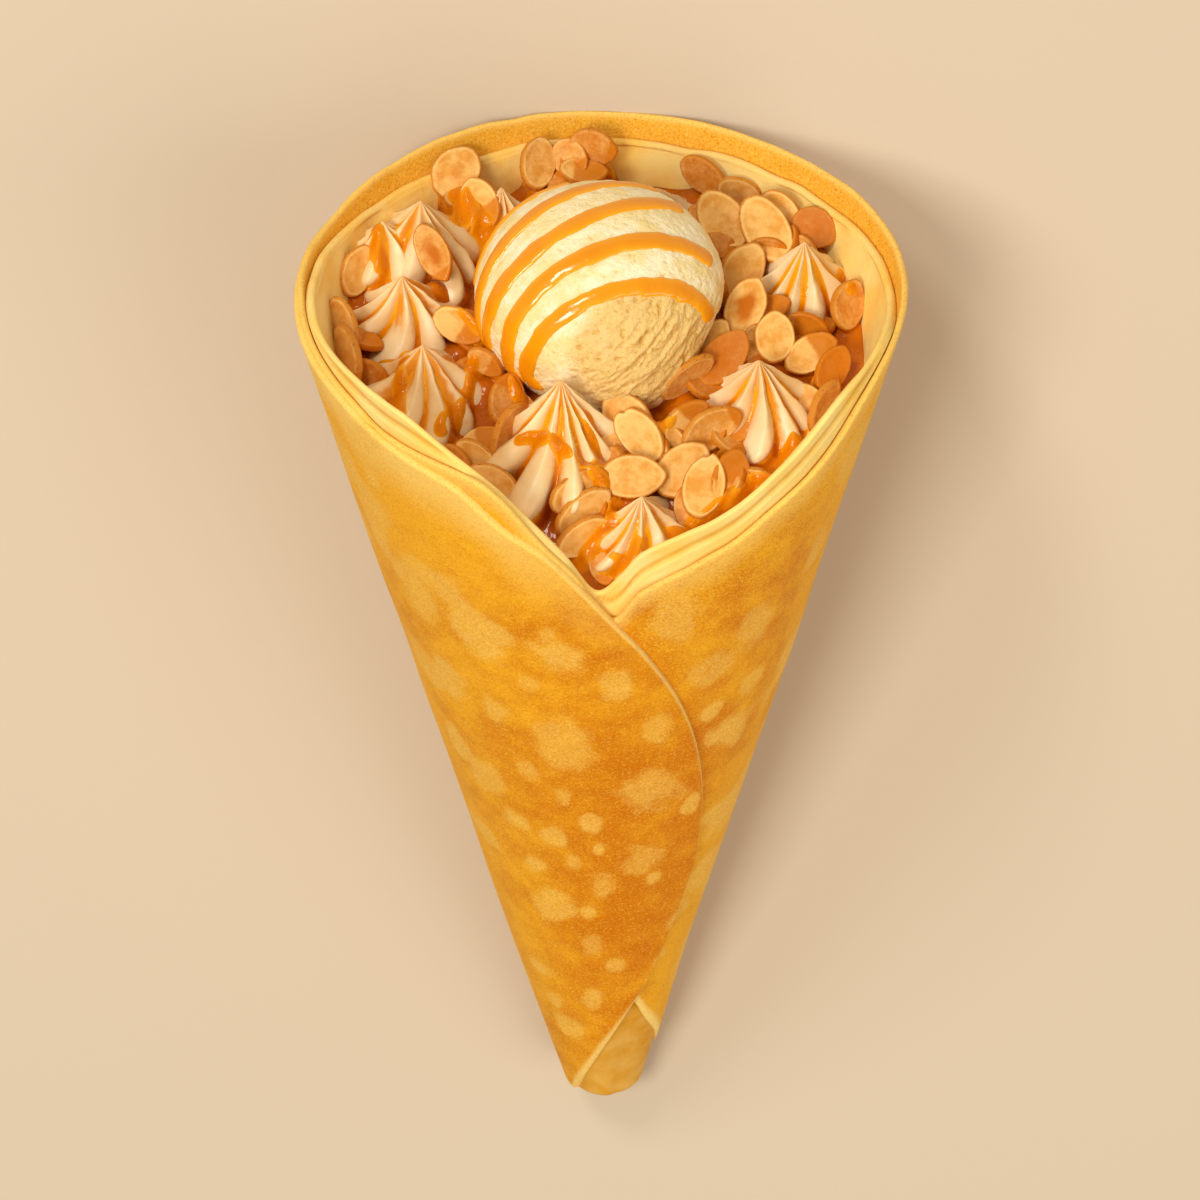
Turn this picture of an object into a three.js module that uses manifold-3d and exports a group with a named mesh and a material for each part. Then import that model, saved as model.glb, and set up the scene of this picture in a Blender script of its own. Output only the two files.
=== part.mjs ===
// A crepe cone: a thin griddle crepe rolled into a cone, filled with caramel cream and topped with a
// scoop of ice cream under caramel stripes, piped cream rosettes and toasted almond flakes.
//
// Millimetres. Each piece is modelled upright about the cone's axis, +Z, from the cone's virtual apex,
// with the lap of the crepe at the front, -Y. The cone is then laid on its back, its mouth towards +Y
// and its lap up.
import * as THREE from "three";
import { mergeVertices } from "three/addons/utils/BufferGeometryUtils.js";
import Module from "manifold-3d";

const wasm = await Module();
wasm.setup();

// The cone
const SLOPE = 0.2488; // radius gained for each millimetre of height above the apex
const TIP_Z = 31.5; // underside of the blunt tip
const HOLLOW_Z = 62; // floor of the hollow that holds the filling
const HOLLOW_TOP = 255; // above everything that stands in the hollow
const PLY = 1.3; // one layer of folded crepe
const TUCK = 0.4; // how far the rolled layers lie inside the cone's line
const TIP_LEAN = 1.2; // sideways lean of the last stretch to the tip
const TIP_LAYER = 0.8; // step down to the innermost layer, which shows at the tip
const WALL = 3.6; // all layers together
const GAP = 0.3; // between neighbouring pieces
const LEAST_STEP = 0.1; // between points that would otherwise meet
const BURY = 0.3; // how far a lapping layer sinks into the one below, so that they join
const FLAT_DEPTH = 1.3; // cut along the back, for the cone to lie on
const FLAT_CUTTER = { width: 80, depth: 20, length: 260, middle: 135 };
const RIM_ROUNDING = 0.7;
const FOOT_ROUNDING = 1.5; // of the blunt tip
const FLOOR_ROUNDING = 3; // round the floor of the hollow
const ROUND_STEPS = 64;
const SMALLEST_FACET = 0.12;

// Edges of the layers: [degrees round from the lap, negative to its left; millimetres above the apex]
const OUTER_RIM = [
  [-180, 239.8], [-150, 240], [-121, 237.4], [-90, 236.5], [-57, 234.5], [-45, 231.5], [-26, 229.5],
  [-20, 225], [-13, 214.5], [-6, 206], [2, 194], [8, 201.3], [20, 207.8], [29, 211.5], [36, 216],
  [50, 223], [61, 232], [75, 236], [110, 237.6], [140, 238.8], [180, 239.8],
];
const INNER_RIM = [
  [-180, 235.5], [-135, 234.5], [-100, 235], [-57, 238.5], [-43, 238], [-33, 233], [-21, 224.5],
  [-9, 210.5], [-2, 200], [4, 205.5], [8, 211], [18, 215.2], [29, 218.5], [39, 225.3], [54, 235],
  [75, 236], [95, 233.5], [135, 234.2], [180, 235.5],
];
const FLAP_TOP = [
  [-200, 238], [-90, 235.5], [-57, 233.8], [-46, 231.3], [-29, 226.3], [-20, 218], [-12, 212.5],
  [-6, 205.5], [0, 197.6], [11, 183], [24, 162], [35, 136.5], [39.5, 119], [40.8, 107],
];
const FLAP_FOOT = [
  [-200, 32], [-60, 32.3], [-41, 33.8], [-13, 44], [7, 55.6], [22, 67.5], [30, 75], [37, 90],
  [40.8, 107],
];
const SECOND_LAYER_FOOT = [
  [-180, 40], [-90, 50], [0, 66], [26, 65.5], [38, 59], [56, 52.3], [77, 45.5], [110, 39], [180, 40],
];
const FLAP_START = -200;
const FLAP_TURNS = 20; // from here to its end the steps grow smaller, round the flap's nose
const FLAP_END = 40.8;
const FLAP_EMERGES = -70; // where the flap has risen to its full thickness

// The filling: a heap that falls away towards the lap
const HEAP_Z = 217;
const HEAP_RISE = 0.17;
const HEAP_FALL = 0.0061;
const HEAP_RADIUS = 58; // beyond the walls, which trim it
const MOUND_SPREAD = 4.7; // of the mounds that carry the flakes

// The scoop of ice cream, an oblate ball that leans towards the lap
const SCOOP = { x: -0.5, y: 8.5, z: 229.2, radius: 24.4, halfHeight: 19.1, lean: 10 };
const STRIPE_POLE = new THREE.Vector3(0.367, -0.896, 0.249).normalize();
const STRIPE_WIDTH = 10.5; // degrees of the ball, at its foot
const STRIPE_RISE = 0.9;
// Stripes that run round the pole: [angle from the pole on top, its change to the left, bow at both ends]
const STRIPES = [[38.5, 7, 4.4], [60, 2.8, 2.8], [79, -4, 6.8], [101.6, -6.6, 2.1], [129, 0, -6]];
const SCOOP_COLUMNS = 32;
const POLE_CAP = 20; // plain cap round either pole, in degrees
// Degrees round the pole from the right: where the stripes begin and end, cross the top, and reach from it
const STRIPE_RIGHT = 15;
const STRIPE_LEFT = 200;
const STRIPE_TOP = 100;
const STRIPE_REACH = 60;

// Piped rosettes: place on the heap, height over it, size, lobes, turn, and how far the front lobes run down
const ROSETTES = {
  rosette_back_left: { x: -35.5, y: 28, up: 4, radius: 11.5, height: 14.5, lobes: 8, turn: 10, reach: 1.25 },
  rosette_left: { x: -37.5, y: 12.5, up: 1, radius: 12.3, height: 14, lobes: 8, turn: 30, reach: 1.1 },
  rosette_front_left: { x: -32, y: -7, up: 0, radius: 12.5, height: 14, lobes: 8, turn: 5, reach: 1.1 },
  rosette_front: { x: -8, y: -19, up: 1, radius: 11, height: 15.5, lobes: 11, turn: 0, reach: 1.55 },
  rosette_lap: { x: 6.5, y: -36, up: 0, radius: 11.3, height: 13.5, lobes: 9, turn: 20, reach: 1 },
  rosette_front_right: { x: 29.7, y: -10, up: 0, radius: 11, height: 13.5, lobes: 9, turn: 15, reach: 1.15 },
  rosette_right: { x: 39, y: 20, up: 2, radius: 9.5, height: 13.5, lobes: 9, turn: 0, reach: 1.2 },
  rosette_back: { x: 11, y: 40, up: 0, radius: 9, height: 11, lobes: 8, turn: 12, reach: 1 },
  rosette_back_small: { x: -20, y: 37, up: 1, radius: 8.5, height: 13, lobes: 8, turn: 0, reach: 1 },
  rosette_wall: { x: -43, y: 25.5, up: 6, radius: 8, height: 9, lobes: 8, turn: 18, reach: 1 },
  rosette_middle: { x: 16, y: -15, up: 0, radius: 7.5, height: 9, lobes: 8, turn: 8, reach: 1 },
};
const ROSETTE_LEAN = 9; // degrees towards the lap
const LOBE_STEPS = 3;
const ROOM_SIDES = 14;
// Rings of a rosette from its foot to its point: [share of the height, share of the radius, fold depth]
const ROSETTE_RINGS = [
  [-0.2, 0.9, 0.1], [0, 1, 0.17], [0.16, 0.97, 0.22], [0.42, 0.66, 0.26], [0.72, 0.31, 0.24],
];

// Almond flakes: place, height over the heap, turn of the long axis from the right, roll about it, length.
// Turn and roll are taken in the plane that faces the eye of someone looking down at SHOW_ELEVATION.
const SHOW_ELEVATION = 38;
const FLAKE_THICKNESS = 1.5;
const FLAKE_BREADTH = 0.66; // breadth for each unit of length
const FLAKE_POINT = 0.14; // how much narrower the pointed end is
const FLAKE_SIDES = 8;
const FLAKES = [
  [-29, 43, 11, 70, 0, 11.5], [-24, 38, 8, -60, 20, 11], [-13, 47, 10, 80, 30, 11],
  [-6.5, 48, 10, -60, 20, 9], [-2, 49, 12, -15, 40, 10], [-48, 19, 8, 70, 35, 11],
  [-50, 4, 8, -70, 50, 12], [-49, -2, 6, -75, 60, 13], [-27, 6, 6, -35, 30, 12],
  [-21, -1, 5, -35, 40, 8], [-18, -12, 4, 80, 25, 11], [-17.5, -18, 4, 62, 60, 12.5],
  [-24, -23, 4, -35, 35, 10], [-21, -28, 4, -25, 30, 11], [-28, -24, 3, -60, 35, 10],
  [-22, -31, 3, -45, 45, 10], [-16, -22, 4, 25, 50, 9], [-5, -31, 6, 35, 35, 13],
  [-4, -34, 5, 40, 45, 13], [-4, -38, 4, 35, 45, 11.5], [5, -18, 6, -58, 20, 15],
  [7, -21, 7, -50, 25, 12.5], [5.5, -29, 7, 2, 15, 13], [15, -26, 5, 45, 10, 13],
  [19, -30, 6, 75, 0, 13], [24, -28, 5, 75, 25, 12.5], [15.5, -18, 6, 45, 40, 11.5],
  [20.5, -19, 6, 30, 45, 13], [14.5, -5, 5, 38, 68, 14], [23, -3.5, 7, 50, 0, 13],
  [33, 2, 7, 90, 0, 10.5], [40, 0, 5, 30, 10, 12], [39.5, 7, 5, -20, 40, 9], [44, -4, 5, 60, 30, 10],
  [42, -13, 5, 65, 62, 11.5], [49, 12, 6, 75, 35, 10], [41.5, 31, 8, -35, 15, 10],
  [32, 29, 9, -62, 0, 15.5], [23.5, 33, 8, -55, 0, 13.5], [35, 35, 8, -50, 25, 11],
  [20, 47, 7, -38, 35, 11], [27, 44, 6, -15, 50, 9], [27, 21, 6, 60, 20, 12],
  [27.5, 9, 8, 68, 0, 12.5], [21, 2, 6, 60, 20, 10], [22, 17, 6, -70, 55, 9], [29, -26, 3, -10, 40, 7],
  [33, -28, 3, 38, 50, 9],
];
const ROSETTE_FLAKE = { on: "rosette_back_left", at: [-33, 18.5, 12.5, -65, 15, 12.5] };

const rad = THREE.MathUtils.degToRad;

// A smooth curve through knots [x, y], evaluated at x.
function through(knots, x) {
  const last = knots.length - 1;
  const at = Math.min(Math.max(x, knots[0][0]), knots[last][0]);
  const i = at < knots[last][0] ? knots.findIndex((k) => k[0] > at) : last;
  const slope = (a, b) => (knots[b][1] - knots[a][1]) / (knots[b][0] - knots[a][0]);
  const start = slope(Math.max(i - 2, 0), i);
  const end = slope(i - 1, Math.min(i + 1, last));
  const span = knots[i][0] - knots[i - 1][0];
  const s = (at - knots[i - 1][0]) / span;
  const blend = s * s * (3 - 2 * s);
  const bend = s * (1 - s) * span * ((1 - s) * start - s * end);
  return knots[i - 1][1] * (1 - blend) + knots[i][1] * blend + bend;
}

// The outer radius of the crepe: a cone with a slow swell round it that grows towards the mouth.
function coneRadius(degrees, z) {
  const mouth = Math.max(z, 0) / 240;
  const swell = 0.3 * Math.sin(rad(3 * degrees + 40)) + 0.25 * Math.sin(rad(5 * degrees - 70));
  const lean = TIP_LEAN * Math.sin(rad(degrees)) * Math.max(0, 1 - z / 75);
  return SLOPE * z - TUCK + swell * mouth ** 3 + lean;
}

function polar(degrees, radius, z) {
  return [radius * Math.sin(rad(degrees)), -radius * Math.cos(rad(degrees)), z];
}

function heapHeight(x, y) {
  return HEAP_Z + HEAP_RISE * y - HEAP_FALL * Math.min(y, 0) ** 2;
}

// A closed solid from rows of points: rows follow each other round or along, each joined to the next.
function solidFromRows(rows, { closed }) {
  const width = rows[0].length;
  const positions = rows.flat(2);
  const faces = [];
  const quad = (a, b, c, d) => faces.push(a, b, c, a, c, d);
  const strips = closed ? rows.length : rows.length - 1;
  for (let i = 0; i < strips; i += 1) {
    const here = i * width;
    const next = ((i + 1) % rows.length) * width;
    const steps = closed ? width - 1 : width;
    for (let j = 0; j < steps; j += 1) {
      const k = (j + 1) % width;
      quad(here + j, next + j, next + k, here + k);
    }
  }
  if (!closed) {
    const end = (rows.length - 1) * width;
    for (let j = 0; j < width / 2 - 1; j += 1) {
      const k = width - 1 - j;
      quad(j, j + 1, k - 1, k);
      quad(end + j, end + k, end + k - 1, end + j + 1);
    }
  }
  const geometry = new THREE.BufferGeometry();
  geometry.setAttribute("position", new THREE.Float32BufferAttribute(positions, 3));
  geometry.setIndex(faces);
  return toSolid(geometry);
}

function toSolid(geometry) {
  const merged = mergeVertices(geometry, 1e-3);
  const index = merged.index.array;
  const kept = [];
  for (let i = 0; i < index.length; i += 3) {
    const [a, b, c] = [index[i], index[i + 1], index[i + 2]];
    if (a !== b && b !== c && c !== a) kept.push(a, b, c);
  }
  const vertProperties = new Float32Array(merged.getAttribute("position").array);
  const triVerts = new Uint32Array(kept);
  const solid = new wasm.Manifold(new wasm.Mesh({ numProp: 3, vertProperties, triVerts }));
  if (solid.volume() <= 0) throw new Error("a solid is inside out");
  return solid;
}

function joinAll(solids) {
  return wasm.Manifold.union(solids);
}

function cutAll(solid, cutters) {
  return solid.subtract(joinAll(cutters));
}

// The main body of a solid, without loose scraps and without facets smaller than can be seen.
function mainPiece(solid) {
  const largest = solid.decompose().reduce((a, b) => (b.volume() > a.volume() ? b : a));
  return largest.simplify(SMALLEST_FACET);
}

// Profiles [radius, z] from axis to axis, carried once round the cone.
function turnedSolid(profileAt, steps) {
  const rows = [];
  for (let i = 0; i < steps; i += 1) {
    const s = (2 * Math.PI * i) / steps - Math.PI;
    const degrees = THREE.MathUtils.radToDeg(s - 0.45 * Math.sin(s)); // closer together near the lap
    rows.push(profileAt(degrees).map(([radius, z]) => polar(degrees, radius, z)));
  }
  return solidFromRows(rows, { closed: true });
}

// The rolled layers: tip, outside, the two rims, and the inside of the hollow down to its floor.
function wrapProfile(degrees) {
  const { smoothstep } = THREE.MathUtils;
  const lapped = smoothstep(degrees, 4, 24) * (1 - smoothstep(degrees, 110, 150));
  const inner = TIP_LAYER * lapped;
  const foot = through(SECOND_LAYER_FOOT, degrees);
  const rim = through(OUTER_RIM, degrees);
  const lining = through(INNER_RIM, degrees);
  const out = (z) => coneRadius(degrees, z);
  return [
    [0, TIP_Z],
    [out(TIP_Z) - inner - FOOT_ROUNDING, TIP_Z],
    [out(TIP_Z + FOOT_ROUNDING) - inner, TIP_Z + FOOT_ROUNDING],
    [out(foot - TIP_LAYER) - inner, foot - TIP_LAYER],
    [out(foot), foot],
    [out(120), 120],
    [out(175), 175],
    [out(rim - 12), rim - 12],
    [out(rim - RIM_ROUNDING), rim - RIM_ROUNDING],
    [out(rim) - PLY / 2, rim],
    [out(rim) - PLY, rim - RIM_ROUNDING],
    [out(lining) - PLY - LEAST_STEP, lining - RIM_ROUNDING],
    [out(lining) - (PLY + WALL) / 2, lining],
    [out(lining) - WALL, lining - RIM_ROUNDING],
    [out(170) - WALL, 170],
    [out(100) - WALL, 100],
    [out(HOLLOW_Z + FLOOR_ROUNDING) - WALL, HOLLOW_Z + FLOOR_ROUNDING],
    [out(HOLLOW_Z) - WALL - FLOOR_ROUNDING, HOLLOW_Z],
    [0, HOLLOW_Z],
  ];
}

// What fits in the hollow and stands clear of its walls.
function hollowProfile(degrees) {
  const inside = (z) => coneRadius(degrees, z) - WALL - GAP;
  const floor = HOLLOW_Z + GAP;
  return [
    [0, floor],
    [inside(floor) - FLOOR_ROUNDING, floor],
    [inside(floor + FLOOR_ROUNDING), floor + FLOOR_ROUNDING],
    [inside(HOLLOW_TOP), HOLLOW_TOP],
    [0, HOLLOW_TOP],
  ];
}

// The free end of the crepe, lapped over the front and wrapped round the left side to the back.
function flapSolid() {
  const evenSteps = 38;
  const closingSteps = 8;
  const rows = [];
  for (let i = 0; i <= evenSteps + closingSteps; i += 1) {
    const closing = (Math.max(i - evenSteps, 0) / closingSteps) * (Math.PI / 2);
    const degrees = i <= evenSteps
      ? FLAP_START + ((FLAP_TURNS - FLAP_START) * i) / evenSteps
      : FLAP_TURNS + (FLAP_END - FLAP_TURNS) * Math.sin(closing);
    const top = through(FLAP_TOP, degrees) + LEAST_STEP / 4;
    const foot = through(FLAP_FOOT, degrees) - LEAST_STEP / 4;
    const rise = THREE.MathUtils.smoothstep(degrees, FLAP_START, FLAP_EMERGES);
    const outside = (PLY + BURY) * rise - BURY;
    const levels = [0, 0.3, 0.6, 1].map((share) => foot + (top - foot) * share);
    const outer = levels.map((z) => polar(degrees, coneRadius(degrees, z) + outside, z));
    const under = levels.map((z) => polar(degrees, coneRadius(degrees, z) - 2 * BURY, z));
    rows.push([...outer, ...under.reverse()]);
  }
  return solidFromRows(rows, { closed: false });
}

// A block below the cone's lowest line, to cut the flat that it lies on.
function flatCutter() {
  const lean = Math.atan(SLOPE);
  const { width, depth, length, middle } = FLAT_CUTTER;
  const block = new THREE.BoxGeometry(width, depth, length);
  block.deleteAttribute("normal");
  block.deleteAttribute("uv");
  block.translate(0, depth / 2 - FLAT_DEPTH, middle);
  block.rotateX(-lean);
  return toSolid(block);
}

function wrapSolid() {
  const rolled = turnedSolid(wrapProfile, ROUND_STEPS).add(flapSolid());
  return mainPiece(rolled.subtract(flatCutter()));
}

// The heap in the hollow. Mounds carry the flakes that lie higher than its surface.
function heapSolid(lift, mounds) {
  const rings = 10;
  const steps = 38;
  const footZ = HOLLOW_Z - 1;
  const height = (x, y) => mounds.reduce((top, [mx, my, up]) => {
    const away = ((x - mx) ** 2 + (y - my) ** 2) / MOUND_SPREAD ** 2;
    return Math.max(top, heapHeight(x, y) + lift + (up - 1) * Math.exp(-away));
  }, heapHeight(x, y) + lift);
  const rows = [];
  for (let i = 0; i < steps; i += 1) {
    const degrees = (360 * i) / steps - 180;
    const row = [[0, 0, footZ], polar(degrees, HEAP_RADIUS / 2, footZ)];
    for (let j = 0; j <= rings; j += 1) {
      const [x, y] = polar(degrees, HEAP_RADIUS * (1 - j / rings), 0);
      row.push([x, y, height(x, y)]);
    }
    rows.push(row);
  }
  return solidFromRows(rows, { closed: true });
}

// The eye's frame: right, up and towards the eye.
const EYE_UP = new THREE.Vector3(0, Math.sin(rad(SHOW_ELEVATION)), Math.cos(rad(SHOW_ELEVATION)));
const EYE_BACK = new THREE.Vector3(0, -Math.cos(rad(SHOW_ELEVATION)), Math.sin(rad(SHOW_ELEVATION)));

// One almond flake: a thin oval plate, a little pointed at one end.
function flakeSolid([x, y, up, turn, roll, length], grow) {
  const half = FLAKE_THICKNESS / 2 + grow;
  const rows = [];
  for (let i = 0; i < FLAKE_SIDES; i += 1) {
    const t = (2 * Math.PI * i) / FLAKE_SIDES;
    const along = (length / 2 + grow) * Math.cos(t);
    const across = (length / 2 + grow) * FLAKE_BREADTH * Math.sin(t) * (1 - FLAKE_POINT * Math.cos(t));
    rows.push([[0, 0, -half], [along, across, -half], [along, across, half], [0, 0, half]]);
  }
  const long = new THREE.Vector3(1, 0, 0).multiplyScalar(Math.cos(rad(turn)));
  long.addScaledVector(EYE_UP, Math.sin(rad(turn)));
  const broad = new THREE.Vector3().crossVectors(EYE_BACK, long).applyAxisAngle(long, rad(roll));
  const facing = new THREE.Vector3().crossVectors(long, broad);
  const place = new THREE.Matrix4().makeBasis(long, broad, facing);
  place.setPosition(x, y, heapHeight(x, y) + up);
  return solidFromRows(movedRows(rows, place), { closed: true });
}

function movedRows(rows, matrix) {
  const moved = (point) => new THREE.Vector3(...point).applyMatrix4(matrix).toArray();
  return rows.map((row) => row.map(moved));
}

// A star-piped rosette: rings of rounded lobes that narrow to a point.
function rosetteSolid(rosette) {
  const lobeAt = (i) => Math.abs(Math.sin((Math.PI * i) / LOBE_STEPS));
  return rosetteForm(rosette, 0, rosette.lobes * LOBE_STEPS, lobeAt);
}

// The room that a rosette takes up: its form without the folds, with the gap round it.
function rosetteRoom(rosette) {
  return rosetteForm(rosette, GAP, ROOM_SIDES, () => 1);
}

function rosetteForm({ x, y, up, radius, height, turn, reach }, grow, steps, lobeAt) {
  const rows = [];
  for (let i = 0; i < steps; i += 1) {
    const t = (2 * Math.PI * i) / steps + rad(turn);
    const frontward = Math.max(0, -Math.sin(t)) ** 2;
    const row = [[0, 0, -0.2 * height - grow]];
    for (const [rise, share, fold] of ROSETTE_RINGS) {
      const run = 1 + (reach - 1) * frontward * (1 - Math.max(rise, 0));
      const r = radius * share * run * (1 - fold * (1 - lobeAt(i))) + grow / Math.cos(Math.PI / steps);
      row.push([r * Math.cos(t), r * Math.sin(t), rise * height - (rise < 0 ? grow : 0)]);
    }
    row.push([0, 0, height + 2 * grow]);
    rows.push(row);
  }
  const place = new THREE.Matrix4().makeRotationX(rad(ROSETTE_LEAN));
  place.setPosition(x, y, heapHeight(x, y) + up);
  return solidFromRows(movedRows(rows, place), { closed: true });
}

// A ball round the stripes' pole, squashed and laid in the heap. marksAt gives [angle from the pole, rise].
function ballSolid(columns, marksAt) {
  const side = new THREE.Vector3().crossVectors(new THREE.Vector3(0, 0, 1), STRIPE_POLE).normalize();
  const over = new THREE.Vector3().crossVectors(STRIPE_POLE, side);
  const squash = SCOOP.halfHeight / SCOOP.radius;
  const rows = [];
  for (let i = 0; i < columns; i += 1) {
    const t = (360 * i) / columns;
    rows.push(marksAt(t).toReversed().map(([angle, rise]) => {
      const direction = STRIPE_POLE.clone().multiplyScalar(Math.cos(rad(angle)));
      direction.addScaledVector(side, Math.sin(rad(angle)) * Math.cos(rad(t)));
      direction.addScaledVector(over, Math.sin(rad(angle)) * Math.sin(rad(t)));
      const reach = SCOOP.radius + rise;
      return [direction.x * reach, direction.y * reach, direction.z * reach * squash];
    }));
  }
  const place = new THREE.Matrix4().makeRotationX(rad(SCOOP.lean));
  place.setPosition(SCOOP.x, SCOOP.y, SCOOP.z);
  return solidFromRows(movedRows(rows, place), { closed: true });
}

// The ball of ice cream, with its caramel stripes standing out as ridges.
function scoopSolid() {
  return ballSolid(SCOOP_COLUMNS, (t) => {
    const onTop = t > STRIPE_RIGHT && t < STRIPE_LEFT;
    const along = onTop ? (t - STRIPE_TOP) / STRIPE_REACH : 0;
    const rise = onTop ? STRIPE_RISE : 0;
    const half = STRIPE_WIDTH / 2;
    const ridges = STRIPES.flatMap(([angle, change, bow]) => {
      const middle = angle + change * along + bow * along ** 2;
      const across = [-half, -half / 2, half / 2, half];
      return across.map((aside) => [middle + aside, Math.abs(aside) < half ? rise : 0]);
    });
    return [[0, 0], [POLE_CAP, 0], ...ridges, [180 - POLE_CAP, 0], [180, 0]];
  });
}

// The room that the scoop takes up, with the gap round it.
function scoopRoom() {
  const rings = 12;
  const clear = STRIPE_RISE + GAP;
  const marks = Array.from({ length: rings + 1 }, (_, i) => [(180 * i) / rings, clear]);
  return ballSolid(2 * rings, () => marks);
}

function meshOf(name, solid, material) {
  const { vertProperties, triVerts } = solid.getMesh();
  const geometry = new THREE.BufferGeometry();
  geometry.setAttribute("position", new THREE.BufferAttribute(vertProperties, 3));
  geometry.setIndex(new THREE.BufferAttribute(triVerts, 1));
  geometry.computeVertexNormals();
  const mesh = new THREE.Mesh(geometry, material);
  mesh.name = name;
  return mesh;
}

function finish(color, roughness) {
  return new THREE.MeshStandardMaterial({ color, roughness, metalness: 0 });
}

const cone = new THREE.Group();
const hollow = turnedSolid(hollowProfile, ROUND_STEPS);
const bareHeap = heapSolid(0, []);
const heapAndGap = heapSolid(GAP, []);
const scoopAndGap = scoopRoom();

cone.add(meshOf("crepe_wrap", wrapSolid(), finish("#d98f2e", 0.7)));
cone.add(meshOf("ice_cream_scoop", scoopSolid(), finish("#f6e6b8", 0.6)));

const roomTaken = [];
for (const [name, rosette] of Object.entries(ROSETTES)) {
  const itsFlake = (grow) => (name === ROSETTE_FLAKE.on ? [flakeSolid(ROSETTE_FLAKE.at, grow)] : []);
  const piped = joinAll([rosetteSolid(rosette), ...itsFlake(0)]).intersect(hollow);
  const fitted = mainPiece(cutAll(piped, [heapAndGap, scoopAndGap, ...roomTaken]));
  cone.add(meshOf(name, fitted, finish("#f3d6a6", 0.5)));
  roomTaken.push(joinAll([rosetteRoom(rosette), ...itsFlake(2 * GAP)]).subtract(bareHeap));
}

const flakes = FLAKES.map((flake) => flakeSolid(flake, 0));
const toppedHeap = joinAll([heapSolid(0, FLAKES), ...flakes]).intersect(hollow);
const filling = mainPiece(cutAll(toppedHeap, [scoopAndGap, ...roomTaken]));
cone.add(meshOf("caramel_filling_with_flakes", filling, finish("#b9671c", 0.25)));

// Laid on its back: the lowest line of the cone turns level, and its middle comes to the origin.
const SIDE_MIDDLE = -0.67;
const LENGTH_MIDDLE = 138;
cone.rotation.x = Math.atan(SLOPE) - Math.PI / 2;
cone.position.set(-SIDE_MIDDLE, -LENGTH_MIDDLE, -FLAT_DEPTH);

const crepeCone = new THREE.Group();
crepeCone.add(cone);
export default crepeCone;
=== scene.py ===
"""A crepe cone that lies on its back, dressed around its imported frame.

Sizes are millimetres in the cone's own frame: upright about +Z from the cone's virtual apex, with the
lap of the crepe at the front, -Y. Cone.lay() turns them into metres where the cone lies.
"""

from __future__ import annotations

import logging
import math
from dataclasses import dataclass, field
from enum import Enum

import bmesh
import bpy
import numpy as np
from mathutils import Matrix, Vector


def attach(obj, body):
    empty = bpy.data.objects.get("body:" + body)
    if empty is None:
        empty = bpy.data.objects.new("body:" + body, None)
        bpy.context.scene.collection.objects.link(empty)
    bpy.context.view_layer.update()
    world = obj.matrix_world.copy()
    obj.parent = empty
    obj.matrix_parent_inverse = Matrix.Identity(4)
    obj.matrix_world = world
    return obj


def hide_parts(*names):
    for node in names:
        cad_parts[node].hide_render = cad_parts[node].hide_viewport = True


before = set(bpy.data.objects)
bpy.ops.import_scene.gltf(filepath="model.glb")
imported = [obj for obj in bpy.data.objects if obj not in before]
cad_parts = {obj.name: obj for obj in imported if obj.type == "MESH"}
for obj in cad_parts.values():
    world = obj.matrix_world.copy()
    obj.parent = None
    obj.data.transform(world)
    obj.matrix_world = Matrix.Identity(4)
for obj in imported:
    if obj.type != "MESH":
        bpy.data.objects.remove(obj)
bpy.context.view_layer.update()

BODY = "root"
MILLIMETRE = 0.001
MERGE_DISTANCE = 1e-6
log = logging.getLogger("crepe_cone")

# A grid's points, and named values at them
Surface = tuple[np.ndarray, dict[str, np.ndarray]]


# ---------------------------------------------------------------- curves and noise


def through(knots: tuple | np.ndarray, x: np.ndarray) -> np.ndarray:
    """A smooth curve through knots: on each span a cubic blend, with slopes taken across the neighbours.

    Args:
        knots: (x, y) pairs in rising order of x.
        x: where the curve is wanted; beyond the ends it stays level.

    Returns:
        The curve's y for each x.
    """
    k = np.asarray(knots, float)
    last = len(k) - 1
    at = np.clip(x, k[0, 0], k[-1, 0])
    i = np.clip(np.searchsorted(k[:, 0], at, side="right"), 1, last)

    def slope(a: np.ndarray, b: np.ndarray) -> np.ndarray:
        """Slope of the straight line from knot a to knot b."""
        return (k[b, 1] - k[a, 1]) / (k[b, 0] - k[a, 0])

    start = slope(np.maximum(i - 2, 0), i)
    end = slope(i - 1, np.minimum(i + 1, last))
    span = k[i, 0] - k[i - 1, 0]
    s = (at - k[i - 1, 0]) / span
    blend = s * s * (3 - 2 * s)
    bend = s * (1 - s) * span * ((1 - s) * start - s * end)
    return k[i - 1, 1] * (1 - blend) + k[i, 1] * blend + bend


def smoothstep(x: np.ndarray, low: float, high: float) -> np.ndarray:
    """0 below low, 1 above high, and a smooth rise between them."""
    s = np.clip((x - low) / (high - low), 0, 1)
    return s * s * (3 - 2 * s)


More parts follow.
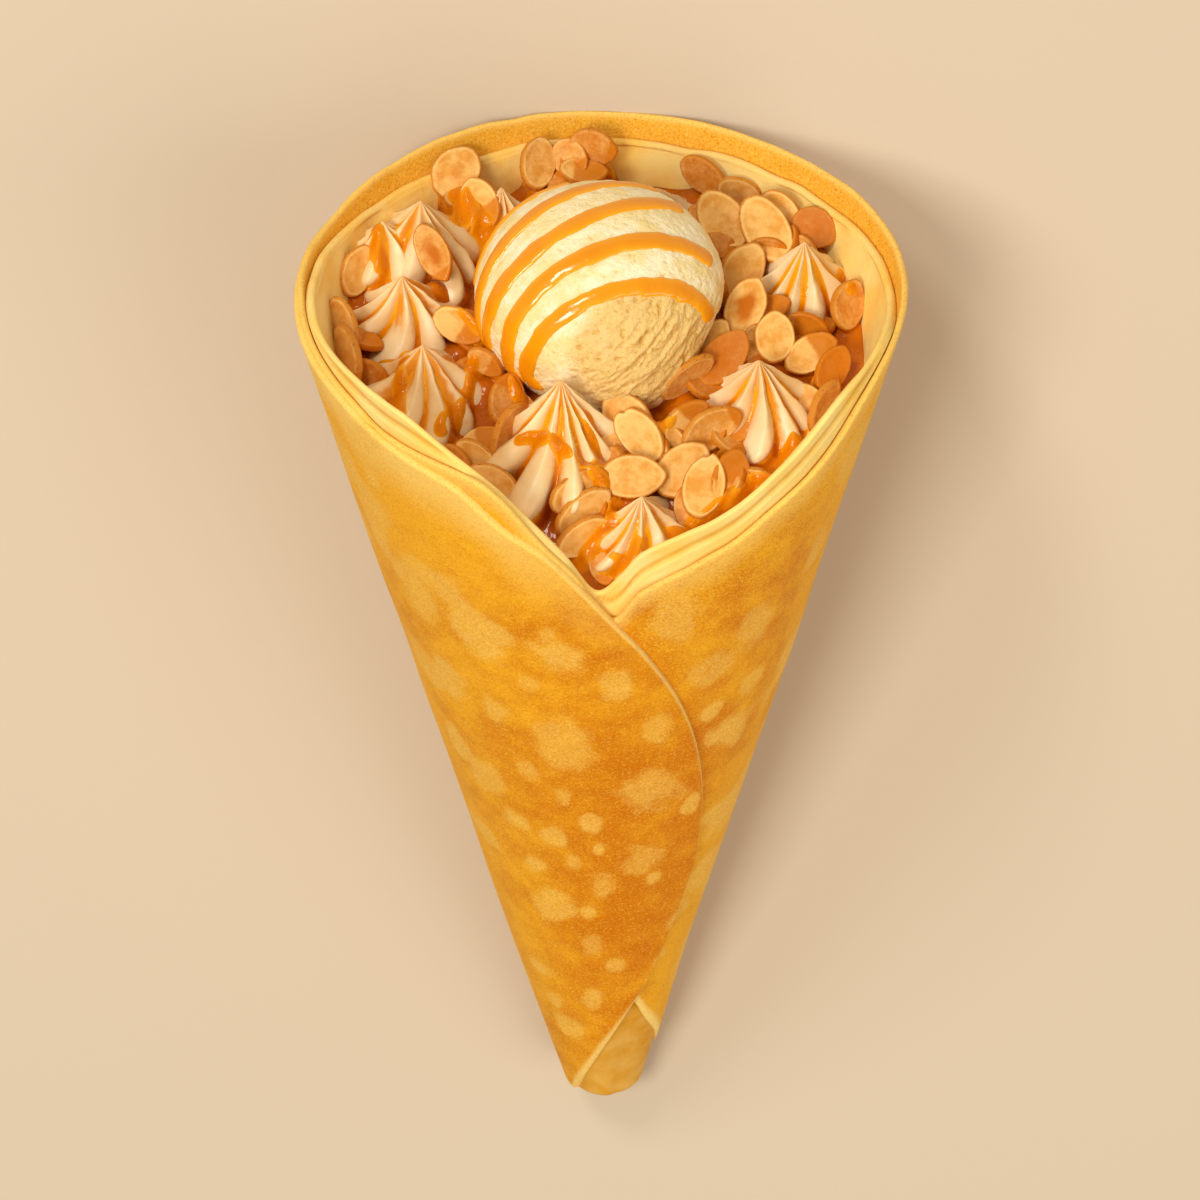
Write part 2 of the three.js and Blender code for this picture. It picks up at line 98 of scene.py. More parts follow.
def lattice_noise(points: np.ndarray, cell: float, seed: int) -> np.ndarray:
    """Smooth noise: a fixed random value at each corner of a cubic lattice, blended between the corners.

    Args:
        points: [..., 3] places in millimetres.
        cell: the lattice's spacing.
        seed: chooses the random values.

    Returns:
        Values from -1 to 1, one for each point.
    """
    scaled = points / cell + 512.5
    base = np.floor(scaled).astype(np.int64)
    share = scaled - base
    share = share * share * (3 - 2 * share)
    total = np.zeros(points.shape[:-1])
    for corner in np.ndindex(2, 2, 2):
        at = base + np.array(corner)
        mixed = (at[..., 0] * 73856093) ^ (at[..., 1] * 19349663) ^ (at[..., 2] * 83492791) ^ (seed * 40503)
        mixed = ((mixed & 0xFFFFFF) * 1103515245 + 12345) & 0x7FFFFFFF
        mixed = ((mixed ^ (mixed >> 11)) * 69069) & 0x7FFFFFFF
        value = mixed / 0x3FFFFFFF - 1
        weight = np.prod(np.where(np.array(corner) == 1, share, 1 - share), axis=-1)
        total += weight * value
    return total


def layered_noise(points: np.ndarray, cell: float, seed: int, layers: int = 3) -> np.ndarray:
    """Noise with finer noise of half the size and strength added, layer by layer."""
    total = np.zeros(points.shape[:-1])
    for layer in range(layers):
        total += lattice_noise(points, cell / 2**layer, seed + layer) / 2**layer
    return total


# ---------------------------------------------------------------- the cone


@dataclass(frozen=True)
class Cone:
    """The cone's frame and the line of its surface."""

    slope: float = 0.2488
    tuck: float = 0.4
    tip_lean: float = 1.2
    tip_bulge: float = 1.0
    tip_reach: float = 75.0
    mouth_z: float = 240.0
    tip_z: float = 31.5
    ply: float = 1.3
    wall: float = 3.6
    flat_depth: float = 1.3
    side_middle: float = -0.67
    length_middle: float = 138.0
    # Swells round the mouth: how far, how many times round, and from how many degrees
    swells: tuple = ((0.3, 3, 40), (0.25, 5, -70))

    def radius(self, turn: np.ndarray, z: np.ndarray) -> np.ndarray:
        """Outer radius of the rolled crepe: a cone with a slow swell round it that grows towards the mouth.

        Args:
            turn: degrees round from the lap, negative to its left.
            z: height above the apex.

        Returns:
            The radius for each turn and height.
        """
        mouth = np.maximum(z, 0) / self.mouth_z
        swell = sum(far * np.sin(np.radians(times * turn + start)) for far, times, start in self.swells)
        side = np.sin(np.radians(turn))
        lean = self.tip_lean * side + self.tip_bulge * np.maximum(0, side)
        return self.slope * z - self.tuck + swell * mouth**3 + lean * np.maximum(0, 1 - z / self.tip_reach)

    @staticmethod
    def polar(turn: np.ndarray, radius: np.ndarray, z: np.ndarray) -> np.ndarray:
        """Points at a turn round from the lap, a radius and a height."""
        turn, radius, z = np.broadcast_arrays(np.radians(turn), radius, z)
        return np.stack([radius * np.sin(turn), -radius * np.cos(turn), z], axis=-1)

    @staticmethod
    def turn_of(points: np.ndarray) -> np.ndarray:
        """Degrees round from the lap for each point."""
        return np.degrees(np.arctan2(points[..., 0], -points[..., 1]))

    def held(self, points: np.ndarray, into_lining: float) -> np.ndarray:
        """Points moved in towards the axis where they would lie deeper in the lining than given."""
        away = np.hypot(points[..., 0], points[..., 1])
        limit = self.radius(self.turn_of(points), points[..., 2]) - self.wall + into_lining
        share = limit / np.maximum(away, limit)
        return points * np.stack([share, share, np.ones_like(share)], axis=-1)

    def tilt(self) -> float:
        """The angle in radians, about X, that brings the cone from upright to lying."""
        return math.atan(self.slope) - math.pi / 2

    def lay(self, points: np.ndarray) -> np.ndarray:
        """Points of the cone's frame as metres where it lies: turned about X by the tilt, then moved."""
        c, s = math.cos(self.tilt()), math.sin(self.tilt())
        x = points[..., 0] - self.side_middle
        y = points[..., 1] * c - points[..., 2] * s - self.length_middle
        z = points[..., 1] * s + points[..., 2] * c - self.flat_depth
        z = np.maximum(z, 0)  # the flat strip that it lies on
        return np.stack([x, y, z], axis=-1) * MILLIMETRE


CONE = Cone()


# ---------------------------------------------------------------- meshes


class MeshMaker:
    """Collects grids of points into one mesh, with named values at the points."""

    def __init__(self) -> None:
        """Starts empty."""
        self.points: list[np.ndarray] = []
        self.quads: list[np.ndarray] = []
        self.caps: list[list[int]] = []
        self.values: dict[str, list[np.ndarray]] = {}
        self.count = 0

    def grid(
        self,
        points: np.ndarray,
        rows_meet: bool = False,
        columns_meet: bool = False,
        **values: np.ndarray,
    ) -> None:
        """Adds a surface that joins each point of a grid to the next along its row and its column.

        Where only the columns meet, the first and the last row are each closed by a flat face.

        Args:
            points: [rows, columns, 3] in the cone's frame.
            rows_meet: the last row joins the first.
            columns_meet: the last column joins the first.
            **values: [rows, columns] numbers that the material reads.
        """
        rows, columns = points.shape[:2]
        index = self.count + np.arange(rows * columns).reshape(rows, columns)
        if columns_meet and not rows_meet:
            self.caps += [index[0].tolist(), index[-1].tolist()]
        if rows_meet:
            index = np.vstack([index, index[:1]])
        if columns_meet:
            index = np.hstack([index, index[:, :1]])
        corners = [index[:-1, :-1], index[1:, :-1], index[1:, 1:], index[:-1, 1:]]
        self.quads.append(np.stack(corners, axis=-1).reshape(-1, 4))
        self.points.append(points.reshape(-1, 3))
        for name, value in values.items():
            spread = np.broadcast_to(value, (rows, columns)).reshape(-1)
            self.values.setdefault(name, []).append(spread)
        self.count += rows * columns

    def made(self, name: str) -> bpy.types.Object:
        """Makes the object, with doubled points merged and its faces turned outwards.

        Args:
            name: the piece's name.

        Returns:
            The object at the origin, with its place in its mesh.
        """
        mesh = bpy.data.meshes.new(name)
        points = CONE.lay(np.concatenate(self.points))
        faces = np.concatenate(self.quads).tolist() + self.caps
        mesh.from_pydata(points.tolist(), [], faces)
        for value_name, parts in self.values.items():
            attribute = mesh.attributes.new(value_name, "FLOAT", "POINT")
            attribute.data.foreach_set("value", np.concatenate(parts).astype(np.float32))
        return finished(name, mesh)


def finished(name: str, mesh: bpy.types.Mesh) -> bpy.types.Object:
    """Merges doubled points, turns the faces outwards, shades smooth and links the object."""
    shape = bmesh.new()
    shape.from_mesh(mesh)
    bmesh.ops.remove_doubles(shape, verts=shape.verts, dist=MERGE_DISTANCE)
    bmesh.ops.dissolve_degenerate(shape, edges=shape.edges, dist=MERGE_DISTANCE)
    bmesh.ops.recalc_face_normals(shape, faces=shape.faces)
    shape.to_mesh(mesh)
    shape.free()
    mesh.polygons.foreach_set("use_smooth", np.ones(len(mesh.polygons), bool))
    piece = bpy.data.objects.new(name, mesh)
    bpy.context.scene.collection.objects.link(piece)
    return piece


def settle(piece: bpy.types.Object, material: bpy.types.Material, slot: str, *nodes: str) -> None:
    """Gives a piece its material and its body, hides the CAD nodes that it stands for, and reports it."""
    piece.data.materials.append(material)
    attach(piece, BODY)
    if nodes:
        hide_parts(*nodes)
    triangles = sum(len(face.vertices) - 2 for face in piece.data.polygons)
    log.info("%s: %d triangles", piece.name, triangles)


# ---------------------------------------------------------------- materials


def paint(red: int, green: int, blue: int) -> tuple[float, float, float, float]:
    """A colour given as 0 to 255 on a screen, as the shader's linear values."""
    screen = (red, green, blue)
    linear = [((c / 255 + 0.055) / 1.055) ** 2.4 if c > 10 else c / 255 / 12.92 for c in screen]
    return (*linear, 1.0)


class Slot(Enum):
    """The record's material slots."""

    CREPE = "crepe"
    CARAMEL = "caramel"
    ICE_CREAM = "ice_cream"
    PIPED_CREAM = "piped_cream"


class Shader:
    """A material's nodes, added by short calls that return the socket they end in."""

    def __init__(self, name: str) -> None:
        """Starts a material with its surface shader."""
        self.material = bpy.data.materials.new(name)
        self.material.use_nodes = True
        self.tree = self.material.node_tree
        self.surface = next(n for n in self.tree.nodes if n.type == "BSDF_PRINCIPLED")
        self.place = self.tree.nodes.new("ShaderNodeTexCoord").outputs["Object"]

    def set(self, **constants: object) -> None:
        """Sets what is the same all over, on the surface shader's own sockets."""
        for name, value in constants.items():
            self.surface.inputs[name.replace("_", " ")].default_value = value

    def link(self, socket: str, source: bpy.types.NodeSocket) -> None:
        """Feeds one socket of the surface shader."""
        self.tree.links.new(source, self.surface.inputs[socket])

    def node(self, kind: str, links: dict, **settings: object) -> bpy.types.Node:
        """Adds a node.

        Args:
            kind: the node's type.
            links: input name or number to a source socket or a plain value.
            **settings: the node's own properties.

        Returns:
            The node.
        """
        made = self.tree.nodes.new(kind)
        for name, value in settings.items():
            setattr(made, name, value)
        for name, value in links.items():
            if isinstance(value, bpy.types.NodeSocket):
                self.tree.links.new(value, made.inputs[name])
            else:
                made.inputs[name].default_value = value
        return made

    def value(self, name: str) -> bpy.types.NodeSocket:
        """A named value at the piece's points."""
        return self.node("ShaderNodeAttribute", {}, attribute_name=name).outputs["Fac"]

    def noise(
        self, size: float, detail: float = 3, rough: float = 0.5, wisp: float = 0
    ) -> bpy.types.NodeSocket:
        """Noise about 0.5 with lumps of a size in millimetres, drawn out into wisps if asked."""
        links = {"Vector": self.place, "Scale": 1 / (size * MILLIMETRE)}
        links |= {"Detail": detail, "Roughness": rough, "Distortion": wisp}
        return self.node("ShaderNodeTexNoise", links).outputs["Fac"]

    def maths(self, operation: str, a: object, b: object) -> bpy.types.NodeSocket:
        """One operation on two numbers."""
        return self.node("ShaderNodeMath", {0: a, 1: b}, operation=operation).outputs[0]

    def plus(self, a: object, b: object) -> bpy.types.NodeSocket:
        """The sum of two numbers."""
        return self.maths("ADD", a, b)

    def less(self, a: object, b: object) -> bpy.types.NodeSocket:
        """The first number less the second."""
        return self.maths("SUBTRACT", a, b)

    def times(self, a: object, b: object) -> bpy.types.NodeSocket:
        """The product of two numbers."""
        return self.maths("MULTIPLY", a, b)

    def swing(self, source: object, amount: float) -> bpy.types.NodeSocket:
        """How far a noise swings from its middle, times an amount."""
        return self.times(self.less(source, 0.5), amount)

    def ramp(self, source: object, low: float, high: float) -> bpy.types.NodeSocket:
        """0 where the source is below low, 1 above high, smooth between them."""
        links = {"Value": source, "From Min": low, "From Max": high}
        return self.node("ShaderNodeMapRange", links, interpolation_type="SMOOTHSTEP").outputs["Result"]

    def mix(self, share: object, a: object, b: object, strength: float = 1.0) -> bpy.types.NodeSocket:
        """Colour a where share is 0, and towards b, as far as the strength, where it is 1."""
        if strength != 1.0:
            share = self.times(share, strength)
        made = self.node("ShaderNodeMix", {0: share, 6: a, 7: b}, data_type="RGBA")
        return made.outputs[2]

    def bump(self, height: bpy.types.NodeSocket, depth: float, under: object = None) -> bpy.types.NodeSocket:
        """A relief of a depth in millimetres, on top of another one if given."""
        links = {"Height": height, "Distance": depth * MILLIMETRE, "Strength": 1.0}
        if under is not None:
            links["Normal"] = under
        return self.node("ShaderNodeBump", links).outputs["Normal"]


@dataclass(frozen=True)
class CrepeFinish:
    """Griddled crepe: browned and speckled outside with pale blotches, smooth and pale yellow inside, with
    painted highlights along its edges and rims.
    """

    honey: tuple = paint(242, 174, 30)
    toast: tuple = paint(208, 118, 0)
    pale: tuple = paint(248, 206, 106)
    pale_grain: tuple = paint(234, 174, 56)
    # edge: painted highlight along the layers' edges and rims
    edge: tuple = paint(255, 224, 134)
    lining: tuple = paint(255, 233, 156)
    lining_shade: tuple = paint(255, 208, 96)
    # lining_toast_and_shade: the tip's toasted inner layer, and painted shade along the lining's ledge
    lining_toast_and_shade: tuple = paint(214, 146, 0)
    prick: tuple = paint(250, 200, 76)
    scorch: tuple = paint(188, 94, 0)
    sheen: tuple = paint(255, 205, 80)
    edge_share: float = 0.85
    blotch_share: float = 0.72

    def material(self, name: str) -> bpy.types.Material:
        """Builds the material. It reads blotch, browning, speckle, edge and inside from the piece."""
        s = Shader(name)
        # edge is a painted highlight; browning also carries painted shade by the lining's ledge and below the
        # tip's step
        edge, browning = s.value("edge"), s.value("browning")
        drifting = s.plus(browning, s.swing(s.noise(8, 4, 0.6), 1.5))
        base = s.mix(s.ramp(drifting, 0.0, 1.0), self.honey, self.toast)
        grain = s.noise(0.46, rough=0.8, wisp=0.8)
        loose = s.swing(grain, 1.1)
        base = s.mix(s.plus(edge, s.times(loose, edge)), base, self.edge, self.edge_share)
        shown = s.less(1.0, s.times(edge, 0.55))
        speckle = s.times(s.value("speckle"), 0.35)
        for end, least, colour in ((0.68, 0.55, self.prick), (0.32, 0.45, self.scorch)):
            specks = s.times(s.ramp(grain, 0.5, end), s.plus(speckle, least))
            base = s.mix(s.times(specks, shown), base, colour)
        blotch = s.plus(s.value("blotch"), s.plus(loose, s.swing(s.noise(2.0), 0.6)))
        pale = s.mix(s.ramp(s.noise(0.5, rough=0.7, wisp=0.6), 0.4, 0.6), self.pale, self.pale_grain)
        base = s.mix(s.ramp(blotch, 0.0, 1.0), base, pale, self.blotch_share)
        inner = s.mix(s.ramp(s.noise(13), 0.35, 0.68), self.lining, self.lining_shade, 0.8)
        mottle = s.plus(s.times(s.noise(4), 0.7), 0.55)
        inner = s.mix(s.times(browning, mottle), inner, self.lining_toast_and_shade)
        inner = s.mix(edge, inner, self.edge, 0.6)
        s.link("Base Color", s.mix(s.value("inside"), base, inner))
        s.link("Normal", s.bump(grain, 0.1, s.bump(s.noise(4), 0.35)))
        s.set(Roughness=0.5, Specular_IOR_Level=0.06, Sheen_Weight=0.06, Sheen_Roughness=0.3)
        s.set(Subsurface_Weight=0.06, Subsurface_Scale=0.002, Subsurface_Radius=(1.0, 0.5, 0.15))
        s.set(Sheen_Tint=self.sheen)
        return s.material


@dataclass(frozen=True)
class CaramelFinish:
    """Caramel sauce: bright amber where it is thin, deep brown where it pools, darker still as painted shade
    in the hollows, and glossy.
    """

    film: tuple = paint(242, 168, 28)
    thin: tuple = paint(222, 128, 0)
    pooled: tuple = paint(194, 98, 0)
    deep: tuple = paint(166, 76, 0)

    def material(self, name: str) -> bpy.types.Material:
        """Builds the material. It reads depth, in millimetres, from the piece."""
        s = Shader(name)
        depth = s.plus(s.value("depth"), s.times(s.noise(3, 2), 0.5))
        colour = self.film
        # The depth includes painted shade in the hollows among the toppings, so the darker colours there are
        # partly painted shade
        for low, high, deeper in ((0.2, 1.3, self.thin), (1.3, 2.8, self.pooled), (2.8, 5.2, self.deep)):
            colour = s.mix(s.ramp(depth, low, high), colour, deeper)
        s.link("Base Color", colour)
        bubbles = s.ramp(s.noise(0.7, 2, 0.4), 0.62, 0.72)
        s.link("Normal", s.bump(bubbles, 0.08, s.bump(s.noise(1.5, 2, 0.4), 0.2)))
        s.set(Roughness=0.12, Specular_IOR_Level=0.24)
        return s.material


@dataclass(frozen=True)
class CreamFinish:
    """Piped cream: satin and beige, stained with caramel along the folds, with painted shade in the valleys
    between lobes.
    """

    cream: tuple = paint(248, 223, 176)
    shade: tuple = paint(238, 204, 146)
    # valley: painted shade in the valleys between the lobes
    valley: tuple = paint(222, 158, 74)
    stain: tuple = paint(228, 144, 20)

    def material(self, name: str) -> bpy.types.Material:
        """Builds the material. It reads stain and valley, each from 0 to 1, from the piece."""
        s = Shader(name)
        base = s.mix(s.ramp(s.noise(7), 0.35, 0.7), self.cream, self.shade)
        # Painted shade in the valleys
        base = s.mix(s.ramp(s.value("valley"), 0.25, 1.0), base, self.valley, 0.8)
        stained = s.ramp(s.plus(s.value("stain"), s.swing(s.noise(1.5, 2), 0.3)), 0.4, 0.66)
        s.link("Base Color", s.mix(stained, base, self.stain, 0.92))
        s.link("Roughness", s.less(0.36, s.times(stained, 0.24)))
        s.link("Normal", s.bump(s.noise(1.2, 2), 0.07))
        s.set(Specular_IOR_Level=0.45, Subsurface_Weight=0.1, Subsurface_Scale=0.001)
        s.set(Subsurface_Radius=(1.0, 0.6, 0.3))
        return s.material


@dataclass(frozen=True)
class IceCreamFinish:
    """Ice cream: ivory and grainy, with painted shade: golden over the rough part round the pole and yellower
    in its pits.
    """

    ivory: tuple = paint(254, 242, 208)
    butter: tuple = paint(246, 224, 160)
    # golden: painted shade over the rough part round the stripes' pole
    golden: tuple = paint(226, 188, 110)
    # pit: painted shade in the pits
    pit: tuple = paint(214, 166, 78)

    def material(self, name: str) -> bpy.types.Material:
        """Builds the material. It reads pit and rough, each from 0 to 1, from the piece."""
        s = Shader(name)
        rough = s.value("rough")
        butter = s.plus(s.noise(6, 4, 0.6), s.times(rough, 0.2))
        base = s.mix(s.ramp(butter, 0.45, 0.72), self.ivory, self.butter)
        base = s.mix(s.ramp(rough, 0.4, 1.0), base, self.golden, 0.75)
        grain = s.noise(0.85, rough=0.6)
        pricks = s.times(s.ramp(grain, 0.52, 0.66), s.plus(rough, 0.1))
        pit = s.plus(s.value("pit"), s.times(pricks, 0.7))
        s.link("Base Color", s.mix(s.ramp(pit, 0.1, 1.0), base, self.pit, 0.85))
        s.link("Normal", s.bump(grain, -0.4))
        s.set(Roughness=0.55, Specular_IOR_Level=0.25, Subsurface_Weight=0.1, Subsurface_Scale=0.0015)
        s.set(Subsurface_Radius=(1.0, 0.75, 0.45))
        return s.material


@dataclass(frozen=True)
class StripeFinish:
    """The caramel drawn over the scoop: an even bright amber, darker where it is thick."""

    amber: tuple = paint(246, 168, 18)
    thick: tuple = paint(230, 140, 0)

    def material(self, name: str) -> bpy.types.Material:
        """Builds the material. It reads depth, about 0 to 1.6, from the piece."""
        s = Shader(name)
        s.link("Base Color", s.mix(s.ramp(s.value("depth"), 0.4, 1.6), self.amber, self.thick))
        s.link("Normal", s.bump(s.noise(1.8, 2, 0.4), 0.03))
        s.set(Roughness=0.15, Specular_IOR_Level=0.6)
        return s.material


@dataclass(frozen=True)
class AlmondFinish:
    """Toasted almond slices: tan faces, golden brown rims, some browned in the middle or glazed."""

    face: tuple = paint(244, 194, 112)
    grain: tuple = paint(228, 162, 70)
    # lip: painted highlight on the raised ring just inside the rim
    lip: tuple = paint(255, 218, 142)
    rim: tuple = paint(208, 130, 28)
    toast: tuple = paint(196, 106, 4)
    glaze: tuple = paint(206, 116, 2)
    skin: tuple = paint(128, 62, 10)

    def material(self, name: str) -> bpy.types.Material:
        """Builds the material. It reads toast, glaze, rim and heart, each from 0 to 1, from the piece."""
        s = Shader(name)
        blur = s.swing(s.noise(2.2), 0.8)
        face = s.mix(s.ramp(s.noise(3, 4, 0.6), 0.38, 0.66), self.face, self.grain)
        face = s.mix(s.ramp(s.plus(s.value("heart"), blur), 0.35, 1.0), face, self.toast)
        rim = s.plus(s.value("rim"), s.times(blur, 0.1))
        # Painted highlight on the raised lip
        face = s.mix(s.ramp(rim, 0.78, 0.88), face, self.lip, 0.5)
        fleck = s.swing(s.noise(0.9, rough=0.7), 0.7)
        toast = s.plus(s.value("toast"), s.plus(s.times(blur, 0.5), fleck))
        face = s.mix(s.ramp(toast, 0.1, 0.9), face, self.toast, 0.88)
        side = s.ramp(rim, 0.9, 0.96)
        face = s.mix(side, face, self.rim, 0.85)
        spots = s.times(s.ramp(s.noise(0.7, rough=0.6), 0.58, 0.68), side)
        face = s.mix(spots, face, self.skin, 0.6)
        glaze = s.ramp(s.plus(s.value("glaze"), blur), 0.3, 0.8)
        s.link("Base Color", s.mix(glaze, face, self.glaze, 0.8))
        s.link("Roughness", s.less(0.5, s.times(glaze, 0.36)))
        s.link("Normal", s.bump(s.noise(1.1, rough=0.6), 0.12))
        s.set(Specular_IOR_Level=0.15)
        return s.material


# ---------------------------------------------------------------- the crepe


@dataclass
class CrepeWrap:
    """The rolled crepe: its lining, the rolled layers and the free flap that laps over the front.

    The edges are knots of (turn, height), in degrees round from the lap and millimetres.
    """

    cone: Cone = CONE
    turns_round: int = 360
    undulation: float = 0.3
    flap_start: float = -200.0
    flap_turns: float = 20.0
    flap_end: float = 40.8
    flap_emerges: float = -70.0
    flap_ply: float = 1.15
    flap_lift: float = 0.35
    nose_gap: float = 0.02
    sunk: float = 0.3
    tip_layer: float = 0.7
    tip_rounding: float = 3.0
    hollow_z: float = 62.0
    edge_rounding: float = 0.9
    # How far from an edge the flap has points, before even steps go on between the edges
    near_edge: tuple = (0, 0.06, 0.16, 0.3, 0.5, 0.75, 1.1, 1.6, 2.4, 3.6)
    ledge: float = 0.8
    lining_lip: float = 1.9
    outer_rim: tuple = (
        (-180, 239.8), (-150, 240), (-121, 237.4), (-90, 236.5), (-57, 234.5), (-45, 231.5), (-26, 229.5),
        (-20, 225), (-13, 214.5), (-6, 206), (2, 194), (8, 201.3), (20, 207.8), (29, 211.5), (36, 216),
        (50, 223), (61, 232), (75, 236), (110, 237.6), (140, 238.8), (180, 239.8),
    )
    inner_rim: tuple = (
        (-180, 235.5), (-135, 234.5), (-100, 235), (-57, 238.5), (-43, 238), (-33, 233), (-21, 224.5),
        (-9, 210.5), (-2, 200), (4, 205.5), (8, 211), (18, 215.2), (29, 218.5), (39, 225.3), (54, 235),
        (75, 236), (95, 233.5), (135, 234.2), (180, 235.5),
    )
    flap_top: tuple = (
        (-200, 238), (-90, 235.5), (-57, 233.8), (-46, 231.3), (-29, 226.3), (-20, 218), (-12, 212.5),
        (-6, 205.5), (0, 197.6), (11, 183), (24, 162), (35, 136.5), (39.5, 119), (40.8, 107),
    )
    flap_foot: tuple = (
        (-200, 32), (-60, 32.3), (-41, 33.8), (-13, 44), (7, 55.6), (22, 67.5), (30, 75), (37, 90),
        (40.8, 107),
    )
    second_foot: tuple = (
        (-180, 40), (-90, 50), (0, 78), (14, 72), (26, 65.5), (38, 59), (56, 52.3), (77, 45.5), (110, 39),
        (180, 40),
    )
    # The larger pale blotches at the front: turn, height, width and length
    blotches: tuple = (
        (-31, 185, 15, 15), (-11, 184, 12, 12), (3, 175, 6, 12), (15, 160, 6, 11), (-11, 156, 12, 18),
        (-24, 146, 5, 8), (15, 141, 14, 16), (-13, 138, 4, 6), (-4, 132, 5, 6), (-41, 137, 11, 10),
        (-33, 127, 7, 7), (-19, 125, 6, 8), (-49, 165, 15, 11), (-31, 162, 8, 9), (-19, 174, 5, 6),
        (31, 133, 4, 7), (17, 193, 10, 15), (29, 174, 12, 9), (33, 161, 6, 6), (43, 151, 13, 11),
        (41, 182, 9, 15), (46, 164, 9, 7), (57, 121, 19, 11), (-43, 195, 25, 10), (-30, 114, 5, 6),
        (-12, 118, 4, 6), (-2, 123, 3, 4), (15, 119, 8, 11), (21, 111, 4, 5), (0, 110, 5, 9),
        (-22, 101, 9, 12), (-7, 101, 3, 4), (-6, 90, 5, 8), (7, 82, 4, 5), (-41, 76, 7, 6), (-37, 66, 6, 6),
        (-7, 70, 5, 7), (-27, 58, 8, 8), (42, 94, 7, 8), (76, 74, 11, 18), (35, 81, 5, 5), (57, 102, 16, 13),
    )
    scattered: int = 150
    # Where the griddle browned the crepe most: turn and height, and how far that reaches each way
    brownest: tuple = (8, 114)
    brown_reach: tuple = (45, 75)
    brown_all_over: float = 0.35
    brown_front: float = 0.55
    brown_slow: float = 0.25
    spared_mouth: float = 0.4
    # Paleness towards the sides: painted light along the cone's outline
    painted_side_light: float = 0.2
    seed: int = 7

    def skin(self, turn: np.ndarray, z: np.ndarray) -> np.ndarray:
        """The rolled surface: the cone's line with soft undulations that die away towards the tip."""
        soft = layered_noise(self.cone.polar(turn, self.cone.slope * z, z), 34, self.seed, layers=2)
        return self.cone.radius(turn, z) + self.undulation * soft * np.clip(z / 160, 0.15, 1)

    def ring_noise(
        self, turn: np.ndarray, cell: float, seed: int, layers: int = 1, radius: float = 50
    ) -> np.ndarray:
        """Noise along a level ring of a radius, for what waves along an edge."""
        return layered_noise(self.cone.polar(turn, radius, 0), cell, seed, layers)

    def blotchiness(self, turn: np.ndarray, z: np.ndarray) -> np.ndarray:
        """How pale the crepe is at each point: 1 within a blotch, 0 away from them all.

        The front's blotches are placed, and the rest are scattered: smaller towards the tip. A blotch is an
        ellipse whose outline noise makes uneven.

        Args:
            turn: degrees round from the lap.
            z: height above the apex.

        Returns:
            Values from 0 to 1.
        """
        random = np.random.default_rng(self.seed)
        turns = random.uniform(58, 312, self.scattered)
        heights = 50 + 180 * np.sqrt(random.uniform(0, 1, self.scattered))
        sizes = random.uniform(3, 15, self.scattered) * np.clip(heights / 170, 0.35, 1)
        strewn = np.stack([turns, heights, sizes, sizes * random.uniform(0.8, 1.5, self.scattered)], axis=-1)
        every = np.vstack([np.asarray(self.blotches, float), strewn])
        strengths = random.uniform(0.6, 1.0, len(every))
        points = self.cone.polar(turn, self.cone.slope * z, z)
        uneven = 0.4 * lattice_noise(points, 4.5, self.seed) + 0.2 * lattice_noise(points, 1.8, self.seed + 5)
        paleness = np.zeros(np.broadcast(turn, z).shape)
        for (at, height, width, length), strength in zip(every, strengths):
            round_by = np.radians((turn - at + 180) % 360 - 180) * self.cone.slope * z
            away = np.hypot(round_by / (width / 2), (z - height) / (length / 2)) + uneven
            paleness = np.maximum(paleness, strength * (1 - smoothstep(away, 0.55, 1.3)))
        return paleness

    def browning(self, turn: np.ndarray, z: np.ndarray) -> np.ndarray:
        """How brown the crepe is: most on the front, least by the mouth, paler towards the sides as painted
        light along the cone's outline, with slow noise.

        Args:
            turn: degrees round from the lap.
            z: height above the apex.

        Returns:
            Values from 0 to 1.
        """
        most_turn, most_z = self.brownest
        reach_turn, reach_z = self.brown_reach
        front = np.exp(-(((turn - most_turn) / reach_turn) ** 2) - ((z - most_z) / reach_z) ** 2)
        points = self.cone.polar(turn, self.cone.slope * z, z)
        slow = self.brown_slow * lattice_noise(points, 26, self.seed + 2)
        mouth = self.spared_mouth * smoothstep(z, 180, 228)
        side_light = self.painted_side_light * smoothstep(np.abs(turn), 50, 90)
        return np.clip(self.brown_all_over + self.brown_front * front + slow - (mouth + side_light), 0, 1)

    @staticmethod
    def lip(thickness: np.ndarray, steps: int = 7) -> tuple[np.ndarray, np.ndarray]:
        """A half circle over a layer's edge: how far inwards and how far up each of its points lies."""
        turn = np.linspace(0, math.pi, steps)[1:]
        return thickness / 2 * (1 - np.cos(turn)), thickness / 2 * np.sin(turn)

